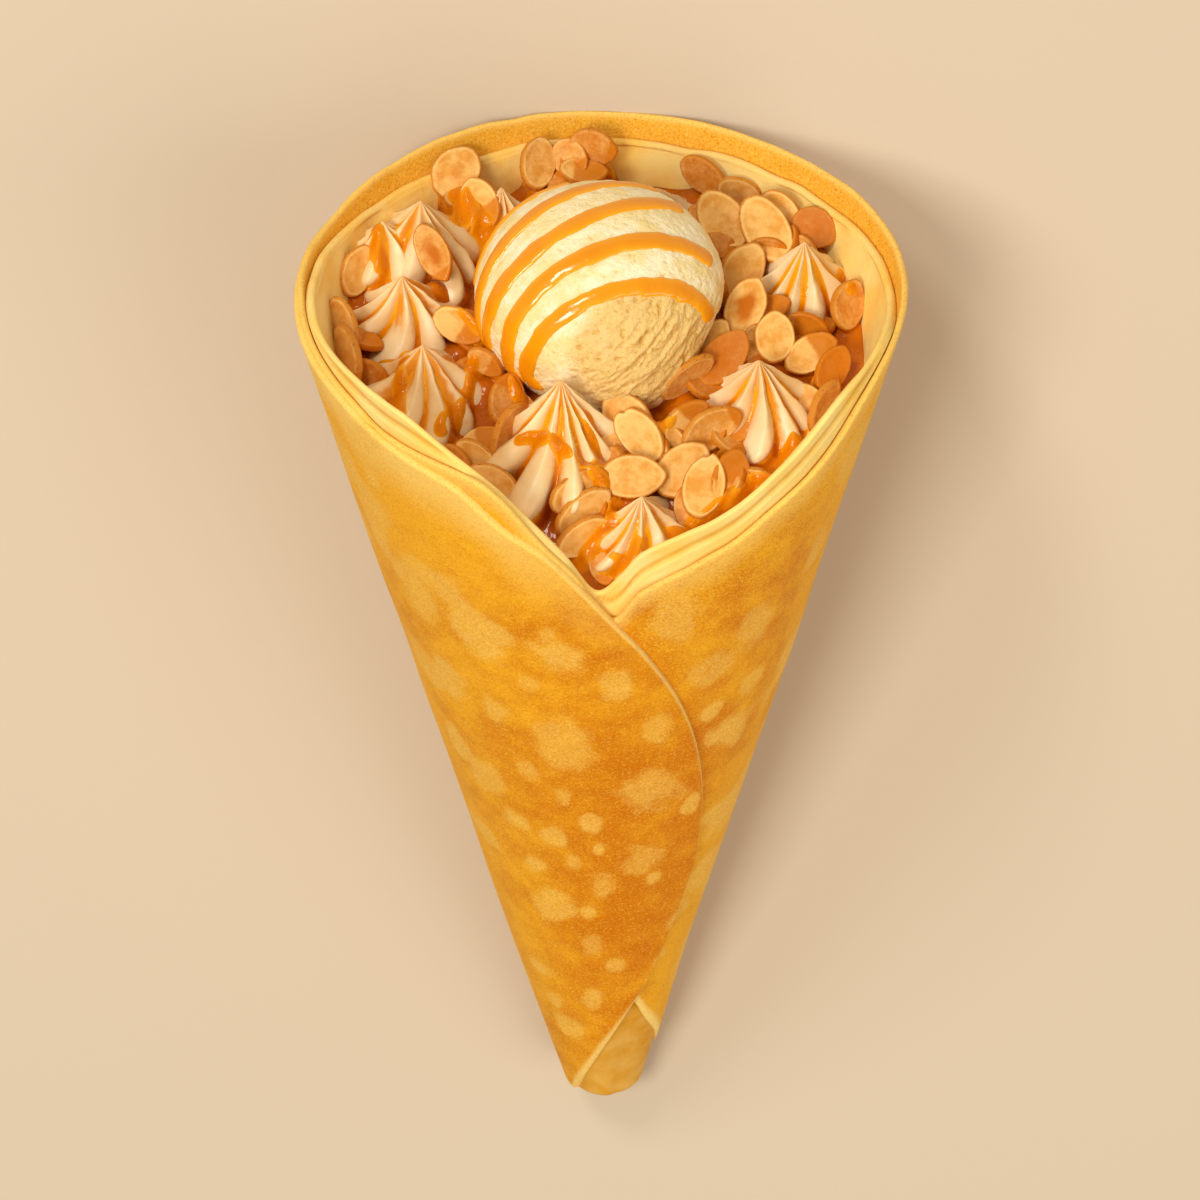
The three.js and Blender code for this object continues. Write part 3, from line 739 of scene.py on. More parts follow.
    def roll_section(
        self, turn: np.ndarray, rim: np.ndarray, foot: np.ndarray, lapped: np.ndarray
    ) -> tuple[np.ndarray, np.ndarray, int]:
        """The rolled layers' outline at each turn, from the tip's middle to the middle of the hollow's floor.

        It runs out over the rounded tip, up the innermost layer to where the second one begins a step further
        out, up that to the rim's half circle, and down the inside.

        Args:
            turn: degrees round from the lap, [turns, 1], as are the others.
            rim: height of the rim.
            foot: height where the second layer begins.
            lapped: from 0 to 1, how far the second layer stands off the innermost one.

        Returns:
            Radius and height, each [turns, steps], and how many of the last steps lie inside.
        """
        axis = np.zeros_like(turn)
        step = self.tip_layer * lapped
        tip_z, tip_side = self.cone.tip_z, self.cone.tip_z + self.tip_rounding
        corner = np.linspace(0, math.pi / 2, 8)[None, 1:]
        tip_radius = self.skin(turn, tip_side) - step
        below = tip_side + np.linspace(0, 1, 16)[None, 1:] * (foot - self.tip_layer - tip_side)
        rise = np.array([[-0.45, -0.2, 0.1]])
        out = np.array([[0.25, 0.75, 1.0]])
        over = foot + rise * lapped + 0.3 * rise
        lip = rim - self.cone.ply / 2
        side = foot + 0.4 + np.linspace(0, 1, 132)[None, 1:] * (lip - foot - 0.4)
        inward, upward = (share[None, :] for share in self.lip(self.cone.ply))
        below_lip = lip - np.arange(1, 15)
        down_wall = below_lip[:, -1:] + np.linspace(0, 1, 10)[1:] * (self.hollow_z - below_lip[:, -1:])
        within = np.concatenate([below_lip, down_wall], axis=1)
        rounded = self.tip_rounding * (1 - np.sin(corner)), self.tip_rounding * (1 - np.cos(corner))
        sections = [
            (axis, tip_z),
            (tip_radius - rounded[0], tip_z + rounded[1]),
            (self.skin(turn, below) - step, below),
            (self.skin(turn, foot) - step * (1 - out), over),
            (self.skin(turn, side), side),
            (self.skin(turn, lip) - inward, lip + upward),
            (self.skin(turn, within) - self.cone.ply, within),
            (axis, self.hollow_z),
        ]
        pairs = [np.broadcast_arrays(radius, z + axis) for radius, z in sections]
        radius, z = (np.concatenate(half, axis=1) for half in zip(*pairs))
        return radius, z, within.shape[1] + 1

    def roll(self) -> bpy.types.Object:
        """The rolled layers: blunt tip, outside, rim and a stretch of the inside, closed below the filling.

        Returns:
            The piece.
        """
        around = np.linspace(-180, 180, self.turns_round, endpoint=False)
        turn = (around - 0.35 * np.degrees(np.sin(np.radians(around))))[:, None]  # closer at the front
        rim = through(self.outer_rim, turn) + 0.55 * self.ring_noise(turn, 9, seed=3, layers=2)
        foot = through(self.second_foot, turn)
        lapped = smoothstep(turn, 4, 24) * (1 - smoothstep(turn, 110, 150))
        radius, z, inside_steps = self.roll_section(turn, rim, foot, lapped)
        points = self.cone.polar(turn, radius, z)
        down, up = rim - z, z - foot
        inner = np.zeros_like(z)
        inner[:, -inside_steps:] = 1
        # Painted highlights, passed as edge: a line along the rim, a band on the outside below the rim, and a
        # band above the second layer's foot
        lip_line = (1 - smoothstep(np.abs(down), 0.3, 1.6)) * 0.7
        near_rim = 0.5 * (1 - smoothstep(down, 1, 9 + 3 * lattice_noise(points, 8, seed=12)))
        second = lapped * smoothstep(up, -0.5, 0) * (1 - smoothstep(up, 2.0, 4.2))
        edge = np.maximum(np.maximum(lip_line, near_rim * (1 - inner)), second)
        shown = smoothstep(turn, -90, -70) * (1 - smoothstep(turn, 110, 150))
        innermost = shown * (1 - smoothstep(z, foot - 0.6, foot))
        # The innermost layer is toasted all over, and a little more just below the second layer's step, which
        # paints the shade under the step
        toasted = innermost * (1 - 0.12 * smoothstep(-up, 1, 14))
        paler = 0.4 * lapped * (1 - smoothstep(z, 110, 150))
        browned = np.maximum(self.browning(turn, z) - paler, 0)
        maker = MeshMaker()
        maker.grid(
            points,
            rows_meet=True,
            blotch=np.where(inner > 0, 0.55, self.blotchiness(turn, z)),
            browning=np.where(innermost > 0, toasted, browned),
            speckle=np.maximum(inner, 0.7 * (1 - smoothstep(down, 6, 34)) * smoothstep(turn, -5, 15)),
            edge=edge * (1 - 0.6 * inner),
            inside=innermost,
        )
        return maker.made("crepe_rolled_layers")

    def lining(self) -> bpy.types.Object:
        """The innermost layers: a ring with a rounded lip, smooth and pale, and a ledge below it in front.

        The ledge is where one layer ends and the next goes on higher: above it the surface steps inwards.
        Shade is painted in the corner just above the ledge, and highlights on the band just below it and
        along the lip.

        Returns:
            The piece.
        """
        turn = np.linspace(-180, 180, self.turns_round, endpoint=False)[:, None]
        lip_line = through(self.inner_rim, turn) + 0.8 * self.ring_noise(turn, 9, seed=21, layers=2)
        rim = through(self.outer_rim, turn)
        front = smoothstep(turn, -110, -60) * (1 - smoothstep(turn, 70, 100))
        gap = 0.05 + 0.14 * front * (1 + 0.9 * self.ring_noise(turn, 13, seed=27))
        step = self.ledge * front
        ledge_z = rim + 0.45 * (lip_line - rim) + 0.5 * self.ring_noise(turn, 11, seed=23)
        inward, upward = self.lip(self.lining_lip - step, 9)
        level = lip_line - (self.lining_lip - step) / 2
        fine = level - np.arange(14, -0.01, -0.5)
        coarse = self.hollow_z + np.linspace(0, 1, 9)[None, :-1] * (fine[:, :1] - self.hollow_z)
        outer_z = np.concatenate([coarse, fine], axis=1)
        inner_z = level + np.linspace(0, 1, 66)[None, 1:] ** 1.8 * (self.hollow_z - level)
        by_lip = 1 - smoothstep(level - inner_z, 0, 10)
        outer = self.skin(turn, outer_z) - self.cone.ply - gap * smoothstep(outer_z, self.hollow_z, level)
        outer = outer - step * smoothstep(outer_z, ledge_z - 0.4, ledge_z + 0.3)
        lip_radius = self.skin(turn, level) - self.cone.ply - gap - step - inward
        drawn_out = self.cone.polar(turn, self.cone.slope * inner_z, inner_z * 0.25)
        folds = 0.45 * layered_noise(drawn_out, 9, seed=31, layers=2)
        inner = self.skin(turn, inner_z) - self.cone.ply - self.lining_lip - gap * by_lip + folds
        radius = np.concatenate([outer, lip_radius, inner], axis=1)
        z = np.concatenate([outer_z, level + upward, inner_z], axis=1)
        points = self.cone.polar(turn, radius, z)
        browned = 1 - smoothstep(lip_line - z, 0.5, 3.5 + 1.5 * lattice_noise(points, 6, seed=17))
        # Painted shade in the corner just above the ledge, passed to the finish as browning
        ledge_shade = np.zeros_like(z)
        ledge_shade[:, :outer_z.shape[1]] = 0.8 * np.exp(-(((outer_z - ledge_z - 0.7) / 0.8) ** 2)) * front
        # Painted highlights, passed as edge: along the lip and on the band just below the ledge
        below_ledge = np.clip(1 - np.abs(z - ledge_z + 0.9), 0, 1)
        pale = np.maximum(1 - smoothstep(lip_line - z, 0.2, 1.6), below_ledge) * front
        maker = MeshMaker()
        maker.grid(
            points,
            rows_meet=True,
            columns_meet=True,
            blotch=0.5,
            browning=ledge_shade,
            speckle=0.3,
            edge=pale * 0.8,
            inside=1 - 0.35 * browned * (1 - 0.7 * front),
        )
        return maker.made("crepe_lining")

    def flap(self) -> bpy.types.Object:
        """The free end of the crepe, from the back round the left side and over the lap to its round nose.

        Across, a section runs up the outside, whose height over the layer below falls off in a quarter circle
        at either edge, and back down below the surface.

        Returns:
            The piece.
        """
        even = np.linspace(self.flap_start, self.flap_turns, 250, endpoint=False)
        ease = np.sin(np.linspace(0, math.pi / 2, 60))
        turn = np.concatenate([even, self.flap_turns + (self.flap_end - self.flap_turns) * ease])[:, None]
        wave = 0.6 * self.ring_noise(turn, 9, seed=8, layers=2, radius=40)
        top = through(self.flap_top, turn) + wave * (1 - smoothstep(turn, 20, 38)) + self.nose_gap
        foot = through(self.flap_foot, turn) - self.nose_gap
        near = np.array(self.near_edge)
        shrink = np.minimum(1, (top - foot) / 16)
        low = foot + near[None, :] * shrink
        high = top - near[None, ::-1] * shrink
        middle = low[:, -1:] + np.linspace(0, 1, 142)[None, 1:-1] * (high[:, :1] - low[:, -1:])
        z = np.concatenate([low, middle, high], axis=1)
        arc = np.radians(np.gradient(turn, axis=0)) * self.cone.slope * z

        def squarely(edge: np.ndarray) -> np.ndarray:
            """The cosine of an edge's slant, which turns a height from it into the distance."""
            return np.cos(np.arctan2(np.abs(np.gradient(edge, axis=0)), arc))

        from_edge = np.minimum((top - z) * squarely(top), (z - foot) * squarely(foot))
        rise = smoothstep(turn, self.flap_start, self.flap_emerges)
        bead = np.sqrt(1 - (1 - np.clip(from_edge / self.edge_rounding, 0, 1)) ** 2)
        lifted = self.flap_lift * np.exp(-((from_edge / 5) ** 2)) * smoothstep(turn, -60, 0)
        height = ((self.flap_ply + lifted + self.sunk) * bead) * rise - self.sunk
        outer = self.cone.polar(turn, self.skin(turn, z) + height, z)
        under_z = z[:, ::8][:, ::-1]
        under = self.cone.polar(turn, self.skin(turn, under_z) - 2 * self.sunk, under_z)
        # Painted highlights, passed as edge: a glow below the flap's top on its left, and a pale line along
        # both edges, wider along the foot at the front
        glow_reach = 18 + 6 * lattice_noise(outer, 9, seed=14)
        rim_glow = 0.72 * (1 - smoothstep(top - z, 1, glow_reach)) * (1 - smoothstep(turn, -30, 10))
        at_foot = (z - foot < top - z) * (1 - smoothstep(turn, -5, 30))
        line_width = 0.9 + 1.5 * at_foot
        line = (1 - smoothstep(from_edge, 0.45 * line_width, line_width)) * 0.85
        values = {
            "blotch": self.blotchiness(turn, z),
            "edge": np.maximum(line, rim_glow) * rise,
            "browning": self.browning(turn, z),
        }
        hidden = np.zeros(under_z.shape)
        maker = MeshMaker()
        maker.grid(
            np.concatenate([outer, under], axis=1),
            columns_meet=True,
            speckle=0.0,
            inside=0.0,
            **{name: np.concatenate([value, hidden], axis=1) for name, value in values.items()},
        )
        return maker.made("crepe_flap")

    def build(self) -> None:
        """Makes the crepe's pieces and dresses them."""
        crepe = CrepeFinish().material("griddled_crepe")
        for make in (self.roll, self.lining, self.flap):
            settle(make(), crepe, Slot.CREPE.value, "crepe_wrap")


# ---------------------------------------------------------------- the heap and what stands on it


HEAP_LEVEL = 217
HEAP_SLOPE = 0.17
HEAP_FALL = 0.0061


def heap_height(x: np.ndarray, y: np.ndarray) -> np.ndarray:
    """Height of the heap in the hollow: a slope that falls off ever faster towards the lap."""
    return HEAP_LEVEL + HEAP_SLOPE * y - HEAP_FALL * np.minimum(y, 0) ** 2


def turned_about_x(points: np.ndarray, degrees: float) -> np.ndarray:
    """Points turned about the X axis."""
    c, s = math.cos(math.radians(degrees)), math.sin(math.radians(degrees))
    y, z = points[..., 1], points[..., 2]
    return np.stack([points[..., 0], y * c - z * s, y * s + z * c], axis=-1)


@dataclass
class Rosette:
    """A star-piped rosette of cream: lobes that flare from a point to a rounded foot."""

    node: str
    x: float
    y: float
    up: float
    radius: float
    height: float
    lobes: int
    turn: float
    reach: float
    swirl: float = 12.0
    stained: float = 0.5
    lean: float = 9.0
    glaze: float = 0.35
    reach_left: float = 0.0
    into_lining: float = 0.5
    # Shares of the radius, and of it that the folds take, from below the foot up to the point
    profile: tuple = (
        (-0.2, 0.86), (-0.1, 0.97), (0.02, 1.03), (0.14, 0.99), (0.28, 0.84), (0.42, 0.655), (0.58, 0.46),
        (0.74, 0.285), (0.88, 0.13), (0.96, 0.05), (1.0, 0.0),
    )
    folds: tuple = ((-0.2, 0.56), (0, 0.64), (0.16, 0.62), (0.42, 0.54), (0.74, 0.42), (1.0, 0.25))

    def surface(self) -> Surface:
        """The rosette's points, and how stained with caramel and how deep in a valley each is.

        Round each level the radius swells and falls with the lobes. Near the point a lobe has a sharp crest,
        1 less the power of a cosine, and at the foot it is a round finger, the power of a sine. The profile
        flares from the point to the foot, and the lobes turn with it. Caramel has run down some valleys and
        in streaks from the point, and stands proud there. Lobes that meet the crepe are pressed flat by it.

        Returns:
            [rows, columns, 3] points in the cone's frame, and the values that the finish reads.
        """
        seed = sum(map(ord, self.node))
        random = np.random.default_rng(seed)
        t = np.linspace(0, 2 * math.pi, self.lobes * 24, endpoint=False)[:, None]
        rise = -0.2 + 1.2 * (1 - (1 - np.linspace(0, 1, 60)) ** 1.25)[None, :]
        flare = np.clip(1 - rise, 0, 1.2)
        phase = t + math.radians(self.swirl) * 1.3 * flare**2.6 + 0.16 * np.sin(2 * t + random.uniform(0, 6))
        wave = self.lobes * phase / 2
        crested = 1 - np.abs(np.cos(wave)) ** 1.3
        fingered = np.abs(np.sin(wave)) ** 0.62
        lobe = crested + (fingered - crested) * smoothstep(flare, 0.3, 0.85)
        number = np.floor(wave / math.pi).astype(int) % self.lobes
        valley = np.floor(wave / math.pi + 0.5).astype(int) % self.lobes
        plump = random.uniform(0.9, 1.12, self.lobes)[number]
        sag = random.uniform(-0.06, 0.1, self.lobes)[number]
        poured = random.uniform(0.5, 1.4, self.lobes)[valley]
        angle = np.broadcast_to(t + math.radians(self.turn), lobe.shape)
        frontward = np.maximum(0, -np.sin(angle + math.radians(self.reach_left))) ** 2
        run = 1 + (self.reach - 1) * frontward * (1 - np.maximum(rise, 0))
        fold = through(self.folds, rise)
        section = 1 - fold + (fold + plump - 1) * lobe
        ring = [3.4 * np.cos(angle), 3.4 * np.sin(angle), np.broadcast_to(rise, lobe.shape)]
        streak = smoothstep(lattice_noise(np.stack(ring, axis=-1), 1.1, seed + 3), 0.1, 0.4)
        stain = self.stained * (1.2 * (1 - lobe) * poured + 0.9 * streak)
        stain = np.clip(stain + 0.5 * self.stained * (1 - smoothstep(rise, -0.05, 0.12)), 0, 1)
        glaze = self.glaze * smoothstep(stain, 0.35, 0.6) * smoothstep(flare, 0, 0.2)
        r = self.radius * through(self.profile, rise) * run * section + glaze
        h = self.height * (rise - sag * lobe * (1 - np.clip(rise, 0, 1)) ** 2)
        points = np.stack([r * np.cos(angle), r * np.sin(angle), h], axis=-1)
        points = turned_about_x(points, self.lean)
        points += np.array([self.x, self.y, heap_height(self.x, self.y) + self.up])
        points += 0.12 * layered_noise(points, 3.0, seed, layers=2)[..., None]
        # valley, 1 less the lobe, is painted shade in the cream's finish
        return CONE.held(points, self.into_lining), {"stain": stain, "valley": 1 - lobe}

    def build(self, material: bpy.types.Material) -> np.ndarray:
        """Makes the rosette and dresses it.

        Args:
            material: the cream's.

        Returns:
            Its grid of points.
        """
        points, values = self.surface()
        foot = points[:, :1].mean(axis=0, keepdims=True).repeat(len(points), axis=0)
        maker = MeshMaker()
        closed = np.concatenate([foot, points], axis=1)
        with_foot = {name: np.concatenate([value[:, :1], value], axis=1) for name, value in values.items()}
        maker.grid(closed, rows_meet=True, **with_foot)
        settle(maker.made(self.node + "_piped"), material, Slot.PIPED_CREAM.value, self.node)
        return points


# Node, x, y, up, radius, height, lobes, turn, reach, swirl and how stained
ROSETTES = [
    Rosette("rosette_back_left", -35.5, 28, 4, 11.5, 14.5, 8, 10, 1.25, 10, 0.36),
    Rosette("rosette_left", -38.8, 11.5, 1, 11.8, 13.8, 8, 30, 1.1, 22, 0.46),
    Rosette("rosette_front_left", -34.5, -6.5, 0, 12.5, 14.5, 8, 5, 1.1, 18, 0.44),
    Rosette("rosette_front", -8, -18.5, 1, 12, 18.2, 11, 0, 1.5, 6, 0.32, reach_left=30),
    Rosette("rosette_lap", 7.2, -36.3, 0.3, 10.6, 13.5, 9, 20, 1, 20, 0.36),
    Rosette("rosette_front_right", 29.5, -10, 0, 11.3, 14.5, 9, 15, 1.15, 12, 0.33),
    Rosette("rosette_right", 39, 20, 2, 9.5, 13.5, 9, 0, 1.2, 6, 0.32),
    Rosette("rosette_back", 11, 40, 0, 9, 11, 8, 12, 1, 30, 0.1),
    Rosette("rosette_back_small", -20, 37, 1, 8.5, 13, 8, 0, 1, 25, 0.15),
    Rosette("rosette_wall", -43, 25.5, 6, 8, 9, 8, 18, 1, 10, 0.2),
    Rosette("rosette_middle", 16, -15, -1.5, 7.5, 8.5, 8, 8, 1, 15, 0.4),
]


@dataclass
class Scoop:
    """The ball of ice cream and the caramel stripes drawn round it."""

    x: float = -0.5
    y: float = 8.9
    z: float = 229.8
    radius: float = 24.4
    half_height: float = 19.5
    lean: float = 10.0
    # Where the ball is pressed in or bulges: way from its middle, how far out, and how wide in degrees
    swells: tuple = (((0.85, -0.31, -0.39), -3.4, 26), ((0.35, -0.75, -0.5), 2.4, 30))
    pole: tuple = (0.367, -0.896, 0.249)
    stripe_width: float = 9.7
    stripe_rise: float = 0.75
    per_degree: float = 0.42
    sunk: float = 0.2
    under: float = -0.7
    rough_to: float = 40.0
    # Stripes round the pole: angle from it on top, change to the left, bow at both ends, from, to
    stripes: tuple = (
        (38.5, 7, 4.4, 0, 211), (60, 2.8, 2.8, 25, 208), (79, -4, 6.8, 40, 205), (101.6, -6.6, 2.1, 45, 200),
        (129, 0, -6, 85, 175),
    )
    seed: int = 40

    def surface(self, angle: np.ndarray, t: np.ndarray, rise: np.ndarray, grain: float = 1.0) -> Surface:
        """Points of the ball, how deep in a pit each lies and how rough it is there.

        A direction at an angle from the stripes' pole and t degrees round it is scaled to the oblate ball,
        and noise drawn out along the scoop's path roughens it, most round the pole.

        Args:
            angle: degrees from the pole.
            t: degrees round the pole from the right.
            rise: how far outside the ball.
            grain: the share of the fine relief that shows; caramel on the ball evens it out.

        Returns:
            [..., 3] points in the cone's frame, and the values that the finish reads.
        """
        pole = np.array(self.pole) / np.linalg.norm(self.pole)
        side = np.cross([0, 0, 1], pole)
        side /= np.linalg.norm(side)
        over = np.cross(pole, side)
        angle, t, rise = np.broadcast_arrays(np.radians(angle), np.radians(t), rise)
        way = np.cos(angle)[..., None] * pole
        way = way + (np.sin(angle) * np.cos(t))[..., None] * side
        way = way + (np.sin(angle) * np.sin(t))[..., None] * over
        ball = way * self.radius
        along, across = ball @ (side * 0.75 + over * 0.66), ball @ (over * 0.75 - side * 0.66)
        drawn = np.stack([along * 0.24, across, ball @ pole], axis=-1)
        ridges = layered_noise(drawn, 1.3, self.seed, layers=2)
        holes = np.maximum(0, lattice_noise(ball, 1.2, self.seed + 9) - 0.3)
        smooth = smoothstep(np.degrees(angle), self.rough_to - 12, self.rough_to + 4)
        rough = 0.4 + 0.6 * (1 - smooth)
        relief = 0.35 * lattice_noise(ball, 13, self.seed + 4) + grain * rough * (0.42 * ridges - 0.8 * holes)
        for middle, swell, width in self.swells:
            middle = np.array(middle) / np.linalg.norm(middle)
            apart = np.degrees(np.arccos(np.clip(way @ middle, -1, 1)))
            relief = relief + swell * np.exp(-((apart / width) ** 2))
        oblate = np.array([1, 1, self.half_height / self.radius])
        points = way * (self.radius + rise + relief)[..., None] * oblate
        points = turned_about_x(points, self.lean) + np.array([self.x, self.y, self.z])
        # pit is read as painted shade in the holes and between the ridges
        pit = np.clip(rough * (1.3 * holes - 0.45 * ridges), 0, 1)
        return points, {"pit": pit, "rough": rough}

    def ball(self) -> bpy.types.Object:
        """The ball, in rings round the stripes' pole."""
        t = np.linspace(0, 360, 360, endpoint=False)[:, None]
        angle = 180 * np.linspace(0, 1, 250)[None, :] ** 1.15
        points, values = self.surface(angle, t, 0.0)
        maker = MeshMaker()
        maker.grid(points, rows_meet=True, **values)
        return maker.made("ice_cream_ball")

    def stripe_pieces(self) -> bpy.types.Object:
        """The stripes: each a bead of half-oval section with uneven edges and round ends.

        Returns:
            The piece, all stripes in one mesh.
        """
        maker = MeshMaker()
        across = np.linspace(-1, 1, 15)[None, :]
        bulge = np.sqrt(1 - across**2)
        for number, (middle, change, bow, start, end) in enumerate(self.stripes):
            t = np.linspace(start, end, int((end - start) * 1.6))[:, None]
            s = np.clip((t - 100) / 60, -1.6, 1.6)
            line = middle + change * s + bow * s**2
            along = t[..., 0] * self.per_degree
            steps = np.stack([along, np.full_like(along, 30.0 * number), np.zeros_like(along)], axis=-1)
            uneven = 1 + 0.2 * layered_noise(steps, 5, 50 + number)[:, None]
            to_end = np.minimum(t - start, end - t) * self.per_degree
            rounding = np.sqrt(1 - (1 - np.clip(to_end / 2.0, 0.02, 1)) ** 2)
            wobble = 0.5 * lattice_noise(steps + 7, 3, 60 + number)[:, None]
            angle = line + wobble + self.stripe_width / 2 * uneven * rounding * across
            rise = self.stripe_rise * rounding * (0.75 + 0.35 * uneven) * bulge - self.sunk
            top, _ = self.surface(angle, t, rise, grain=0.2)
            under, _ = self.surface(angle[:, ::-1][:, 1:-1:3], t, np.full_like(t, self.under))
            depth = np.concatenate([1.2 * bulge * uneven, np.ones(under.shape[:2])], axis=1)
            maker.grid(np.concatenate([top, under], axis=1), columns_meet=True, depth=depth)
        return maker.made("scoop_caramel_stripes")

    def build(self) -> None:
        """Makes the ball and its stripes and dresses them."""
        settle(self.ball(), IceCreamFinish().material("ice_cream"), Slot.ICE_CREAM.value, "ice_cream_scoop")
        settle(self.stripe_pieces(), StripeFinish().material("stripe_caramel"), Slot.CARAMEL.value)


@dataclass(frozen=True)
class Flake:
    """One almond slice: where it lies, how it is turned, its size and how it was toasted and glazed."""

    x: float
    y: float
    up: float
    turn: float
    roll: float
    length: float
    breadth: float = 0.64
    toast: float = 0.2
    heart: float = 0.2
    glaze: float = 0.0
    notch: float = 0.0

    def centre(self) -> np.ndarray:
        """Its middle in the cone's frame."""
        return np.array([self.x, self.y, heap_height(self.x, self.y) + self.up])


# x, y, up, turn, roll, length, breadth, toast, heart, glaze and notch
FLAKES = [Flake(*row) for row in (
    (-29, 43, 11, 60, 0, 12, 0.8, 0.32, 0.55),
    (-24, 35, 10.5, -60, 20, 11, 0.68, 0.05, 0.1, 0.42),
    (-13, 47, 10, 80, 30, 11, 0.7, 0.4, 0.3),
    (-6.5, 48, 10, -60, 20, 9, 0.8, 0.45, 0.4, 0.35),
    (-2, 49, 12, -15, 40, 10, 0.8, 0.6, 0.5, 0.2),
    (-48, 19, 8, 70, 35, 11, 0.64, 0.25, 0.3),
    (-50, 4, 8, -70, 50, 12, 0.6, 0.15, 0.1),
    (-49, -2, 6, -75, 60, 13, 0.6, 0.3, 0.1, 0.2),
    (-28, 4, 8, -30, 30, 11, 0.62, 0.0, 0.0, 0.42),
    (-22.5, -4, 6.5, -35, 45, 8, 0.6, 0.45, 0.2, 0.4),
    (-18.5, -12, 5.5, 80, 25, 11, 0.66, 0.55, 0.2, 0.3),
    (-18, -19, 6, 62, 60, 12.5, 0.6, 0.5, 0.1, 0.1),
    (-24, -23, 4, -35, 35, 10, 0.62, 0.1, 0.1, 0.0, 0.5),
    (-21, -28, 4, -25, 30, 11.5, 0.64, 0.22, 0.15),
    (-28, -24, 3, -60, 35, 10, 0.66, 0.7, 0.3, 0.4),
    (-22, -31, 3, -45, 45, 10, 0.66, 0.6, 0.3, 1.0),
    (-16, -22, 4, 25, 50, 9, 0.64, 0.5, 0.2, 1.0),
    (-4.5, -31.5, 7, 35, 35, 13, 0.6, 0.25, 0.1, 0.35),
    (-3.8, -34.5, 6, 40, 45, 13, 0.6, 0.15, 0.1),
    (-4, -38, 5, 35, 45, 11.5, 0.6, 0.0, 0.0),
    (5, -18, 6, -58, 20, 15, 0.62, 0.3, 0.1),
    (7, -21, 7, -50, 25, 12.5, 0.64, 0.1, 0.15, 0.0, 0.4),
    (5.5, -29, 7, 2, 15, 13, 0.66, 0.22, 0.3),
    (15, -26, 5, 45, 10, 13, 0.7, 0.2, 0.25),
    (19, -30, 6, 75, 0, 13, 0.64, 0.12, 0.3, 0.0, 0.3),
    (24, -28, 5, 75, 25, 12.5, 0.64, 0.25, 0.1, 0.6),
    (15.5, -18, 6.5, 45, 40, 11.5, 0.64, 0.1, 0.1, 0.45),
    (20.5, -19, 6.5, 30, 45, 13, 0.6, 0.3, 0.1, 0.2),
    (16, -8.5, 7.5, 38, 68, 13, 0.6, 0.35, 0.1),
    (23, -3.5, 7, 50, 0, 13, 0.62, 0.85, 0.8),
    (33, 2, 7, 90, 0, 10.5, 0.76, 0.08, 0.1),
    (40, 0, 5, 30, 10, 11.5, 0.62, 0.05, 0.1, 0.45),
    (39.5, 7, 5, -20, 40, 9, 0.64, 0.6, 0.3, 0.8),
    (44, -4, 5, 60, 30, 10, 0.66, 0.5, 0.2, 1.0),
    (42, -13, 5, 65, 62, 11.5, 0.6, 0.45, 0.1),
    (47.5, 12, 6, 75, 35, 10.5, 0.7, 0.55, 0.2),
    (41.5, 31, 8, -35, 15, 9.5, 0.84, 0.85, 0.6),
    (32, 29, 9, -62, 0, 15.5, 0.6, 0.06, 0.08),
    (23.5, 33, 8, -55, 0, 13.5, 0.68, 0.16, 0.5),
    (35, 35, 8, -50, 25, 11, 0.66, 0.12, 0.1),
    (20, 47, 7, -38, 35, 11, 0.6, 0.65, 0.4),
    (27, 44, 6, -15, 50, 9, 0.66, 0.0, 0.0),
    (27, 21, 6, 60, 20, 13, 0.66, 0.15, 0.2),
    (27.5, 9, 8, 68, 0, 12.5, 0.64, 0.1, 1.1),
    (21, 2, 6, 60, 20, 10, 0.66, 0.0, 0.0),
    (22, 17, 6, -70, 55, 9, 0.62, 0.75, 0.2),
    (29, -26, 3, -10, 40, 7, 0.6, 0.3, 0.1, 0.4),
    (33, -28, 3, 38, 50, 9, 0.6, 0.3, 0.1, 0.2, 0.6),
    (-33, 18.5, 12.5, -65, 15, 12.5, 0.52, 0.5, 1.0, 0.2),
)]


